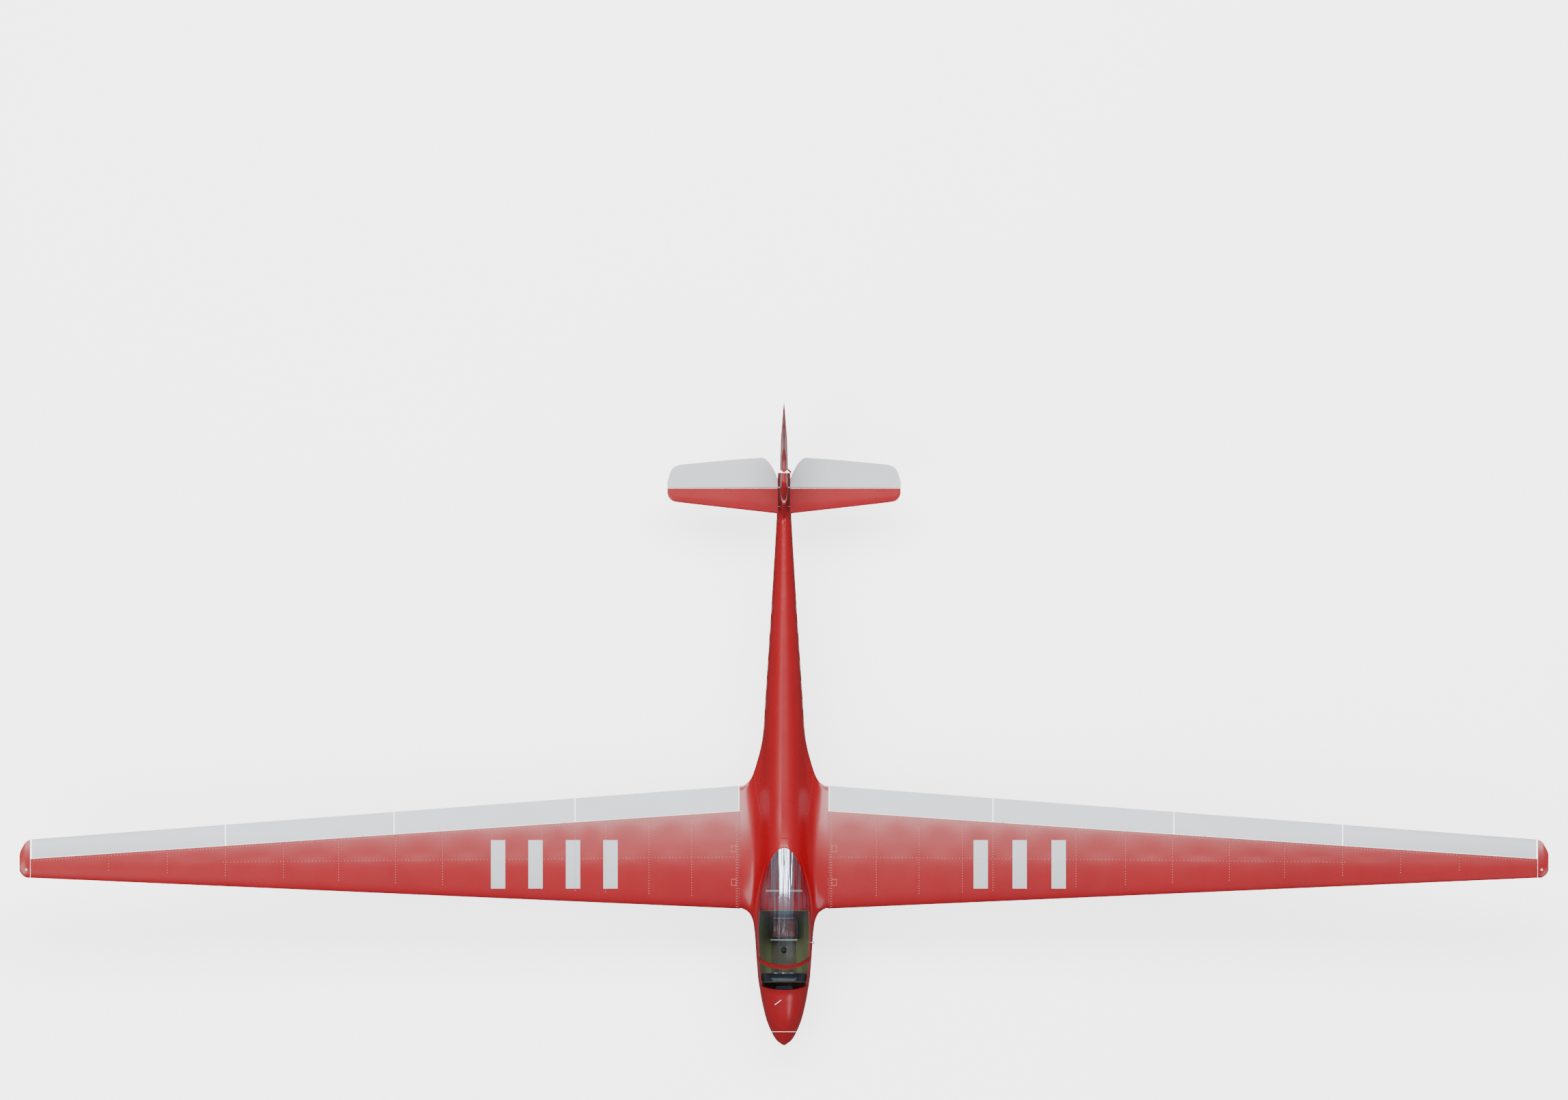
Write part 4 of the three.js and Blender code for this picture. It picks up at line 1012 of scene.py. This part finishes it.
def make_wing_tip(word, side):
    table = [[0, 0, 0, 1], [8.9, 1, 5, 0.94], [16.9, 7, 18, 0.66], [20.0, 12, 25, 0.45], [21.4, 16, 32, 0.22]]
    stops = [0, 3, 6, 9, 11.5, 13.5, 15.2, 16.6, 18, 19.2, 20.2, 21, 21.4]
    place = wing_at(WING["tip"])
    t = (1 - np.cos(np.linspace(0, math.pi, 30))) / 2
    thick = np.maximum(section_height(t, 1) - section_height(t, -1), 0.012 * np.sin(np.pi * t) + 0.001)
    rings = []
    for out in stops:
        front, back, share = (along(table, out, c) for c in (1, 2, 3))
        y = place["leading"] + front + (place["trailing"] - back - place["leading"] - front) * t
        middle = (wing_z(WING["tip"], y, 1) + wing_z(WING["tip"], y, -1)) / 2 + out * 0.0694
        half = thick / 2 * share * (place["trailing"] - place["leading"])
        x = side * (WING["tip"] + GAP + out - (0.4 if out > 21 else 0))
        rings.append(section_ring(x, y, middle + half, middle - half))
    tip = loft(f"{word}_tip_cap", rings, 50)
    finish_piece(tip, red_plain, f"{word}_wing_tip")
    lamp_y = place["leading"] + 16
    lamp_z = float(wing_z(WING["tip"], lamp_y, 1)) - 0.2
    lamp = loft(f"{word}_tip_lamp", dome((side * 1487, lamp_y, lamp_z), 2.6, 1.9), 60)
    finish_piece(lamp, pale_plastic)


def dome(centre, radius, height):
    ring = circle((0, 0, 1), (0, -1, 0), 20) * radius
    lifts = np.linspace(0, 0.95, 6)
    rings = [np.array(centre) + ring * math.sqrt(1 - lift**2) + [0, 0, height * lift] for lift in lifts]
    return [rings[0] - [0, 0, 0.8], *rings]


def surface_ring(side, x, slant, sag):
    """Section of a hinged surface: a slanted front face, a rounded top edge and a thin trailing edge."""
    place = wing_at(x)
    front, back = place["hinge"] + 0.2, place["trailing"]
    top = float(wing_z(x, front, 1))
    foot = front + (top - float(wing_z(x, front, -1))) * slant
    low = float(wing_z(x, foot, -1))
    tail = float(wing_z(x, back, 1) + wing_z(x, back, -1)) / 2
    dip = sag * wing_bay(x)
    points = []
    for t in np.linspace(0, 1, 13):
        y = front + (back - front) * t
        straight_z = top + (tail + 0.45 - top) * t
        height = float(wing_z(x, y, 1)) if t < 1 else tail + 0.45
        height = max(height, straight_z) if t > 0.5 else height
        points.append((y, height - dip * math.sin(math.pi * t)))
    points.append((back + 0.15, tail))
    for t in np.linspace(1, 0, 11):
        height = low + (tail - 0.45 - low) * t + dip * math.sin(math.pi * t)
        points.append((foot + (back - foot) * t, height))
    points += [(foot - 0.6 * slant, low + 0.8), (front + 0.5, top - 1.0), (front + 0.12, top - 0.3)]
    return np.array([(side * x, y, z) for y, z in points])


def horn_parts(side, x):
    """A thin horn plate under a surface, for the rod's end."""
    hinge = wing_at(x)["hinge"]
    low = float(wing_z(x, hinge + 8, -1))
    outline = [(8, 1.2), (19, 1.2), (3.4, -8.2), (1.2, -8.9), (-0.8, -7.4), (-0.6, -4.6)]
    plates = [[(side * x - offset, hinge + y, low + z) for y, z in outline] for offset in (3.3, 2.4)]
    return loft_parts(plates)


def make_surface(word, side, name, index, slant, horn):
    start, end = SPLITS[index] + (1 if index else 0.2), SPLITS[index + 1] - 1
    parts = [loft_parts([surface_ring(side, x, slant, 0.3) for x in span_stations(start, end, 6)])]
    if horn:
        parts.append(horn_parts(side, horn))
    piece = merged(f"{word}_{name}_covering", parts, 32)
    finish_piece(piece, white_flap, f"{word}_{name}", f"{word}_{name}")


def surface_point(side, x, y, top, lift=0.0):
    """A point on the wing's covering and the way it faces."""
    z = float(wing_z(x, y, top))
    ahead = float(wing_z(x, y + 1, top)) - z
    out = float(wing_z(x + 1, y, top)) - z
    normal = np.array([-out * side, -ahead, 1.0]) * top
    normal /= np.linalg.norm(normal)
    dip = float(covering_dip(x, y, 0.9))
    return np.array([side * x, y, z]) + normal * (lift - dip), normal


def make_wing_stitching(word, side):
    """Rib tapes and rows of stitch heads over the ribs, the spar and along the hinge line."""
    heads, tapes = [], []
    for top in (1, -1):
        for rib in RIBS[:-1]:
            start, hinge = wing_at(rib)["leading"], wing_at(rib)["hinge"]
            heads += [(rib, y, top, 0.12, LARGE_HEAD) for y in spaced(start + 22, hinge - 8, 5)]
            strip = []
            for y in spaced(start + 14, hinge - 2, 12):
                edges = ((-2.2, -0.3), (-1.8, 0.14), (1.8, 0.14), (2.2, -0.3))
                strip.append([surface_point(side, rib + shift, y, top, lift)[0] for shift, lift in edges])
            tapes.append(loft_parts(strip))
        heads += [(x, wing_at(x)["hinge"] - 4.5, top, 0.02, LARGE_HEAD) for x in spaced(92, 1470, 6)]
        for x in spaced(92, 1100, 7):
            heads.append((x, SPAR + 14 * (1 - (x - 87) / 1391.6), top, 0.02, SMALL_HEAD))
        chord = spaced(WING["leading"][0] + 4, WING["hinge"][0] - 4, 5)
        heads += [(x, y, top, 0.02, SMALL_HEAD) for y in chord for x in (91, 93.6)]
    for y in (-318, -252):
        hatch = [(94, y), (94, y + 12), (103, y + 12), (103, y)]
        for (x0, y0), (x1, y1) in zip(hatch, hatch[1:] + hatch[:1]):
            corners = [(x0 + (x1 - x0) * t, y0 + (y1 - y0) * t) for t in (0, 0.25, 0.5, 0.75)]
            heads += [(x, at, 1, 0.02, SMALL_HEAD) for x, at in corners]
    finish_piece(merged(f"{word}_rib_tapes", tapes, 30), red_wing)
    dots = [dot_parts(*surface_point(side, x, y, top, lift), *size) for x, y, top, lift, size in heads]
    finish_piece(merged(f"{word}_wing_stitch_heads", dots, 40), stitch)


for word, side in (("left", 1), ("right", -1)):
    make_wing_skin(word, side)
    make_wing_tip(word, side)
    make_root_gap_shade(word, side)
    make_surface(word, side, "inner_flap", 0, 0.62, None)
    make_surface(word, side, "outer_flap", 1, 0.62, FLAP_SERVO[0])
    make_surface(word, side, "inner_aileron", 2, 0.42, AILERON_SERVO[0])
    make_surface(word, side, "outer_aileron", 3, 0.42, None)
    make_wing_stitching(word, side)

# ---- tail


def make_stabiliser(word, side):
    back = TAIL["hinge"] - 1
    edge = [[0, 0, 1], [176, 0, 0.78], [203, 0.6, 0.74], [208, 2, 0.71], [212, 5, 0.66]]
    edge += [[215, 9, 0.58], [217, 15, 0.42]]
    t = (1 - np.cos(np.linspace(0, math.pi, 22))) / 2
    bow = np.sqrt(1 - (1 - np.minimum(t / 0.4, 1)) ** 2) * (1 - 0.14 * np.maximum(t - 0.4, 0) / 0.6)
    rings = []
    for out in [*np.linspace(0, 190, 24), *np.linspace(194, 217, 12)]:
        front = mix(TAIL["lead"], out / 217) + along(edge, out, 1)
        half = TAIL["thick"] / 2 * along(edge, out, 2) * bow
        x, y = side * (TAIL["root"] + out), front + (back - front) * t
        rings.append(section_ring(x, y, TAIL["z"] + half, TAIL["z"] - half))
    piece = loft(f"{word}_stabiliser_covering", rings, 32)
    cut(piece, bore((-40, TAIL_JOINER_Y, TAIL["z"]), (40, TAIL_JOINER_Y, TAIL["z"]), 1.9, 20))
    shade(piece)
    finish_piece(piece, red_tail, f"{word}_stabiliser")


def elevator_thickness(x):
    """Half the elevator's thickness at its hinge, away from the root."""
    return TAIL["thick"] / 2 * 0.86 * (1 - 0.42 * (x - 12) / 217)


def elevator_half(side):
    front = TAIL["hinge"] - 0.4
    t = np.linspace(0, 1, 12)
    rings = []
    for x in refine(ELEVATOR_RIBS, 8):
        back = (straight(ELEVATOR_BACK, x) + along(ELEVATOR_BACK, x)) / 2
        half = elevator_thickness(x)
        y = front + half * 0.5 + (back - front - half * 0.5) * t
        height = half + (0.5 - half) * t - 0.3 * bay(x, ELEVATOR_RIBS) * np.sin(np.pi * t)
        section = [*zip(y, height), *zip(y[::-1], -height[::-1]), (front + 0.15, -0.5), (front + 0.15, 0.5)]
        rings.append([(side * x, at, TAIL["z"] + z) for at, z in section])
    return loft_parts(rings)


def make_elevator():
    horn = [(461, 133), (464.2, 133), (463.2, 118.4), (462.2, 117.2), (460, 117), (458.8, 118.2)]
    plates = [[(x, y, z) for y, z in horn] for x in (-1, 1)]
    rod = rod_parts((-13, 462.6, 133), (13, 462.6, 133), 1.3, 20)
    piece = merged("elevator_covering", [elevator_half(1), elevator_half(-1), rod, loft_parts(plates)], 32)
    finish_piece(piece, white_tail, "elevator", "elevator")
    tapes = []
    for x in ELEVATOR_RIBS[1:-1]:
        back, half = straight(ELEVATOR_BACK, x) - 3, elevator_thickness(x)
        for side, up in ((1, 1), (1, -1), (-1, 1), (-1, -1)):
            strip = []
            for y in np.linspace(466, back, 6):
                z = half + (0.5 - half) * (y - 463.5) / (back - 460.5)
                edges = ((-1.6, -0.3), (-1.3, 0.12), (1.3, 0.12), (1.6, -0.3))
                strip.append([(side * x + shift, y, TAIL["z"] + up * (z + lift)) for shift, lift in edges])
            tapes.append(loft_parts(strip))
    finish_piece(merged("elevator_rib_tapes", tapes, 30), white_tail, body="elevator")


def make_rudder():
    front = HINGE_POST + RUDDER_GAP
    heights = [87, 88, 89.5, 91.5, 94, 97, 101, 106, 112, 118]
    heights += [*np.linspace(123, 285, 48), 289, 293, 296.5, 299.5, 302, 303.8, 304.8]
    t = np.linspace(0, 1, 16)
    rings = []
    for z in heights:
        back, half = along(RUDDER, z, 1), along(RUDDER, z, 2)
        y = front + half * 0.62 + (back - front - half * 0.62) * t
        swell = (0.2 - 0.35 * bay(z, RUDDER_RIBS)) * np.sin(np.pi * t)
        width = np.interp(t, [0, 0.5, 1], [half, half * 0.75, 0.5]) + swell
        section = [*zip(width, y), *zip(-width[::-1], y[::-1]), (-0.9, front + 0.05), (0.9, front + 0.05)]
        rings.append([(x, at, z) for x, at in section])
    horn = [(3, 3), (6, 5), (13.6, -2.5), (14.4, -1.6), (14.4, 2.2), (6, 9), (3, 9)]
    plates = [[(x, front + y, z) for x, y in horn] for z in (105, 106.6)]
    piece = merged("rudder_covering", [loft_parts(rings), loft_parts(plates)], 32)
    finish_piece(piece, rudder_paint, "rudder", "rudder")


make_stabiliser("left", 1)
make_stabiliser("right", -1)
make_elevator()
make_rudder()

# ---- ground gear


def make_skid():
    rings = []
    t = np.linspace(0, 1, 8)
    for y in [*np.linspace(-602, -560, 12), *np.linspace(-554, -317, 40)]:
        top, bottom, wide, narrow = (along(SKID, y, c) for c in (1, 2, 3, 4))
        width = wide + (narrow - wide) * t**1.3
        width[-1] -= 0.8
        left = np.stack([-width, np.full(8, y), top + 6 + (bottom - top - 6) * t], axis=1)
        rings.append(np.concatenate([left, left[::-1] * [-1, 1, 1]]))
    runner = loft("skid_block", rings, 40)
    cut(runner, hull_solid(-615, -300, -GAP), block(-20, 20, -316.6, -250, 0, 60))
    cut(runner, block(-40, 40, -640, CAP_SEAM + 1, 0, 90))
    shade(runner, 35)
    finish_piece(runner, olive_wood, "skid_runner")
    strap = []
    for y in np.linspace(-585, -317, 60):
        high, half = along(SKID, y, 2) - GAP, along(SKID, y, 4) - 0.5
        low = high - 2.4
        left = [(-half, y, high), (-half, y, low + 0.5), (0.5 - half, y, low)]
        strap.append([*left, *[(-x, y, z) for x, y, z in left[::-1]]])
    finish_piece(loft("skid_strap", strap, 30), sole_metal, "skid_sole")
    places = [(x, y, along(SKID, y, 2) - GAP - 2.4) for y in np.linspace(-570, -330, 9) for x in (-6, 6)]
    screws = [dot_parts(place, (0, 0, -1), 1.7, 0.25) for place in places]
    finish_piece(merged("skid_strap_screws", screws), steel)


make_skid()


def make_wheel():
    half, radius, rim = WHEEL["half"], WHEEL["radius"], WHEEL["rim"]
    centre = (0, WHEEL["y"], WHEEL["z"])
    wall = [(rim + 0.3, -0.72), (rim + 0.9, -0.86), (rim + 2.2, -0.96), (rim + 4, -1), (radius - 5, -0.985)]
    wall += [(radius - 3.4, -0.9), (radius - 1.6, -0.7), (radius - 0.7, -0.52)]
    tread = []
    for at in (-0.36, -0.12, 0.12, 0.36):
        crown = radius - 0.25 - 0.4 * abs(at)
        tread += [(crown, at - 0.05), (crown - 0.9, at - 0.03), (crown - 0.9, at + 0.03), (crown, at + 0.05)]
    outline = [(r, x * half) for r, x in [*wall, *tread, *[(r, -x) for r, x in wall[::-1]]]]
    tyre = mesh_object("tyre_tread", *turned_parts(outline, centre, 96), 28)
    finish_piece(tyre, rubber, "tyre", "wheel")
    dish = [(2.55, -0.7), (3.2, -0.78), (6.8, -0.78), (7.6, -0.68), (8.2, -0.44)]
    dish += [(8.8, -0.38), (12.0, -0.38), (12.5, -0.44), (13.2, -0.66), (rim, -0.62)]
    profile = [(r, x * half) for r, x in [*dish, *[(r, -x) for r, x in dish[::-1]]]]
    hub = mesh_object("hub_turned", *turned_parts(profile, centre, 64), 30)
    finish_piece(hub, aluminium, "wheel_hub", "wheel")
    bolts = []
    for side in (1, -1):
        for turn in np.arange(6) * math.pi / 3:
            place = np.array(centre) + [side * half * 0.37, 10.4 * math.cos(turn), 10.4 * math.sin(turn)]
            bolts.append(dot_parts(place, (side, 0, 0), 0.9, 0.5))
    finish_piece(merged("hub_bolts", bolts), steel, body="wheel")


make_wheel()

# ---- cockpit


def make_cockpit():
    tub = hull_solid(-520, -360, WALL + GAP, 96, 4)
    outline = [(-508, 44.4), (BULKHEAD - GAP, 44.4), (BULKHEAD - GAP, seam_at(BULKHEAD) - 2)]
    outline += [(y, seam_at(y) - 2) for y in (-427, -508)]
    keep(tub, slab(outline))
    room = hull_solid(-520, -360, WALL + GAP + 1.6, 96, 4)
    keep(room, slab([(-506.4, 46), (-368, 46), (-368, 200), (-506.4, 200)]))
    cut(tub, room)
    tub.name = "cockpit_lining"
    shade(tub)
    finish_piece(tub, cockpit_green, "cockpit_tub")


def cushion(name, centre, size, lean, channels):
    """A crowned pad with sewn channels, its sides pulled in between its corners."""
    width, length, thick = size
    columns, rows = 28, 26
    u, v = np.meshgrid(np.linspace(-1, 1, columns), np.linspace(-1, 1, rows), indexing="ij")
    x = u * width / 2 * (1 - 0.05 * (1 - v**2))
    y = v * length / 2 * (1 - 0.04 * (1 - u**2))
    crown = (1 - np.abs(u) ** 4) ** 0.5 * (1 - np.abs(v) ** 4) ** 0.5
    quilt = 1 - 0.22 * np.exp(-((np.sin(np.pi * channels * (v + 1) / 2) / 0.22) ** 2)) * (np.abs(v) < 0.97)
    heights = thick * crown * quilt, -0.12 * thick * crown
    verts = np.concatenate([np.stack([x, y, z], axis=2).reshape(-1, 3) for z in heights])
    faces = []
    base = columns * rows
    for i in range(columns - 1):
        for j in range(rows - 1):
            a = i * rows + j
            faces.append((a, a + rows, a + rows + 1, a + 1))
            faces.append((base + a + 1, base + a + rows + 1, base + a + rows, base + a))
    rim = [i * rows for i in range(columns)] + [(columns - 1) * rows + j for j in range(1, rows)]
    rim += [i * rows + rows - 1 for i in range(columns - 2, -1, -1)] + list(range(rows - 2, 0, -1))
    faces += [(a, b, base + b, base + a) for a, b in zip(rim, rim[1:] + rim[:1])]
    tilt = math.radians(lean)
    turn = np.array([[1, 0, 0], [0, math.cos(tilt), -math.sin(tilt)], [0, math.sin(tilt), math.cos(tilt)]])
    pad = mesh_object(name, verts @ turn.T + np.asarray(centre, float), faces, 60)
    change_mesh(pad, lambda cage: bmesh.ops.remove_doubles(cage, verts=cage.verts, dist=1e-6))
    finish_piece(pad, leather)


def make_seat():
    side = [(-424, 46.4), (-371, 46.4), (-369.8, 100), (-369.5, 128), (-371, 131), (-373.2, 130)]
    side += [(-376, 100), (-379, 70), (-386, 61.5), (-418, 61), (-424, 58)]
    shapes = []
    for x, share in ((-27.5, 0.96), (-26.8, 0.985), (-25.6, 1), (25.6, 1), (26.8, 0.985), (27.5, 0.96)):
        shapes.append([(x, -397 + (y + 397) * share, 88 + (z - 88) * share) for y, z in side])
    shell = loft("seat_shell", shapes, 40)
    finish_piece(shell, black, "pilot_seat")
    cushion("seat_cushion", (0, -402, 61.6), (50, 36, 4.0), 0, 4)
    cushion("back_cushion", (0, -378.6, 98), (48, 50, 3.6), 97, 5)
    cross_bar("seat_front_bar", 26.5, -424.6, 60.5, 1.5, 16)


def cross_bar(name, reach, y, z, radius, sides):
    bar = mesh_object(name, *rod_parts((-reach, y, z), (reach, y, z), radius, sides, edge=0.4))
    finish_piece(bar, pale_plastic)


def make_panel():
    body = hull_solid(-515, -480, WALL + 4.6, 96, 3)
    side = [(-505.6, 54), (-500, 54), (-491.4, 112), (-490, 118), (-490, 132)]
    side += [(-491.5, 140), (-497, 150), (-500, 152.6), (-505.6, 154)]
    keep(body, slab(side))
    body.name = "instrument_pod"
    shade(body, 30)
    finish_piece(body, navy, "instrument_panel")
    rims, faces, hands = [], [], []
    y = -490.0
    for x, z, radius in ((-15, 126, 6.5), (0, 127, 7.5), (15, 126, 6.5), (-8, 113, 5), (8, 113, 5)):
        bezel = [(radius - 0.8, -0.3), (radius - 0.8, 1.2), (radius, 0.72), (radius, -0.3)]
        rims.append(turned_parts(bezel, (x, y, z), 40, 1))
        faces.append(rod_parts((x, y - 0.3, z), (x, y + 0.35, z), radius - 0.6, 32))
        turn = 0.7 + x * 0.13 + z * 0.31
        tip = (x + math.cos(turn) * radius * 0.6, y + 0.7, z + math.sin(turn) * radius * 0.6)
        hands.append(rod_parts((x, y + 0.6, z), tip, 0.3, 8, 0.12))
    finish_piece(merged("instrument_bezels", rims), aluminium)
    finish_piece(merged("instrument_faces", faces), black)
    finish_piece(merged("instrument_hands", hands), pale_plastic)


def make_stick():
    outline = [(0.5, 0), (6, 0.2), (6.2, 1.2), (5, 2.6), (3.4, 3.4), (2.6, 4.6), (1.8, 6), (1.5, 16)]
    outline += [(1.5, 29), (2.9, 31), (3.3, 33.5), (2.9, 36), (3.4, 39), (3.0, 42), (3.5, 45)]
    outline += [(2.8, 48.6), (1.4, 50.6)]
    ring = circle((0, 0, 1), (0, -1, 0), 24)
    stick = loft("stick_grip", [ring * radius + [0, -445, 46.4 + lift] for radius, lift in outline], 50)
    finish_piece(stick, black, "control_stick")


def make_cockpit_trim():
    """The cross tube behind the seat, a floor mat and pedals."""
    cross_bar("cross_tube", 36, -328.5, seam_at(-328.5) + 1.6, 1.9, 20)
    mat = []
    for y in np.linspace(-500, -428, 20):
        edge = 47.1 + 0.075 * math.sin(y * 0.9)
        mat.append([(-24, y, 46.1), (-23.4, y, edge), (0, y, 47.3), (23.4, y, edge), (24, y, 46.1)])
    finish_piece(loft("floor_mat", mat, 40), floor_grey)
    pedals = []
    for x in (-13, 13):
        pedals.append(rod_parts((x - 6, -478, 60), (x + 6, -478, 60), 1.4, 16))
        pedals.append(rod_parts((x, -474, 47), (x, -478, 60), 1.0, 12))
    finish_piece(merged("rudder_pedals", pedals), steel)


make_cockpit()
make_seat()
make_panel()
make_stick()
make_cockpit_trim()

# ---- rivets


def rivet_places():
    """Rivets along the fuselage's seams, as (y, z) points on one side."""
    places = []
    for start, end, pitch in ((-598, -522, 5), (-508, -376, 6)):
        places += [(y, seam_at(y) - 3.5) for y in spaced(start, end, pitch)]
    places += [(y, float(along(SKID, y, 1)) + 12) for y in spaced(-586, -330, 7)]
    for y0, z0, y1, z1, pitch in RIVET_LINES:
        for t in spaced(0, 1, pitch / max(abs(y1 - y0), abs(z1 - z0))):
            places.append((y0 + (y1 - y0) * t, z0 + (z1 - z0) * t))
    return places


def make_rivets():
    trees = []
    for name in ("fuselage_skin", "nose_deck_skin", "nose_cap_skin"):
        change_mesh(bpy.data.objects[name], lambda cage: trees.append(BVHTree.FromBMesh(cage)))
    heads = []
    for side in (1, -1):
        for y, z in rivet_places():
            start = Vector((side * 0.1, y * 0.001, z * 0.001))
            hits = [tree.ray_cast(start, Vector((-side, 0, 0))) for tree in trees]
            hits = [hit for hit in hits if hit[0] is not None and hit[0].x * side > 0.001]
            if hits:
                place, normal = min(hits, key=lambda hit: hit[3])[:2]
                heads.append(dot_parts(np.array(place) * 1000, normal, *SMALL_HEAD))
    finish_piece(merged("fuselage_rivets", heads), rivet)


make_rivets()

# ---- CAD pieces that keep their shape

kept = [
    (tail_green, "tail_skid"),
    (bare_wood, "fin_post", "servo_tray"),
    (steel, "tow_hook", "canopy_latch", "rudder_pushrod", "pitot_probe", "wheel_axle"),
    (lead, "nose_ballast"),
    (battery_blue, "battery_pack"),
    (black, "receiver", "elevator_servo", "rudder_servo"),
    (pale_plastic, "elevator_servo_arm", "rudder_servo_arm"),
    (carbon, "elevator_pushrod", "wing_joiner", "stabiliser_joiner"),
]
for word in ("left", "right"):
    kept.append((bare_wood, f"{word}_wing_frame"))
    kept.append((black, f"{word}_flap_servo", f"{word}_aileron_servo"))
    kept.append((steel, f"{word}_flap_pushrod", f"{word}_aileron_pushrod"))
for material, *names in kept:
    for name in names:
        set_material(nodes[name], material)
        shade(nodes[name], 35)

# ---- floor, light and camera


def light(name, place, aim, energy, size, colour):
    lamp = bpy.data.lights.new(name, "AREA")
    lamp.energy, lamp.color, lamp.shape = energy, colour, "RECTANGLE"
    lamp.size, lamp.size_y = size
    obj = bpy.data.objects.new(name, lamp)
    obj.location = place
    obj.rotation_euler = (Vector(aim) - Vector(place)).to_track_quat("-Z", "Y").to_euler()
    bpy.context.scene.collection.objects.link(obj)


def make_stage():
    bpy.ops.mesh.primitive_plane_add(size=40, location=(0, 0, 0))
    floor = bpy.context.object
    floor.name = "floor"
    pale = new_shader("floor_paper")
    seen = pale.node("ShaderNodeLightPath").outputs["Is Camera Ray"]
    pale.set(
        Base_Color=pale.blend((0.93, 0.93, 0.93, 1), (0.96, 0.96, 0.96, 1), pale.noise(3, 2.0)),
        Roughness=0.9,
        Specular_IOR_Level=0.1,
        Emission_Color=(1, 1, 1, 1),
        Emission_Strength=pale.math("MULTIPLY_ADD", seen, 2.2, 0.25),
    )
    floor.data.materials.append(pale.owner)
    floor.visible_glossy = False
    bpy.context.scene.world = bpy.data.worlds.new("studio")
    sky = Shader(bpy.context.scene.world)
    sky.surface = sky.tree.nodes["Background"]
    rise = sky.ranged(sky.split(sky.direction)[2], 0, 1, -0.1, 0.7)
    sky.set(Color=sky.blend((0.30, 0.29, 0.27, 1), (0.86, 0.94, 1.0, 1), rise), Strength=0.6)
    light("overhead_rear", (0, 3.1, 4.6), (0, 0.2, 0.1), 520, (6.0, 2.2), (1.0, 0.985, 0.96))
    light("key", (-2.8, -1.2, 3.6), (0, 0, 0.1), 150, (3.2, 3.2), (1.0, 0.98, 0.95))
    light("fill", (3.0, -2.4, 2.6), (0, 0, 0.1), 90, (3.2, 3.2), (0.94, 0.97, 1.0))


def make_camera():
    camera = bpy.data.cameras.new("camera")
    camera.type = "ORTHO"
    camera.ortho_scale = 3.0766
    obj = bpy.data.objects.new("camera", camera)
    obj.location = (0, 0.340, 4.0)
    bpy.context.scene.collection.objects.link(obj)
    bpy.context.scene.camera = obj


make_stage()
make_camera()
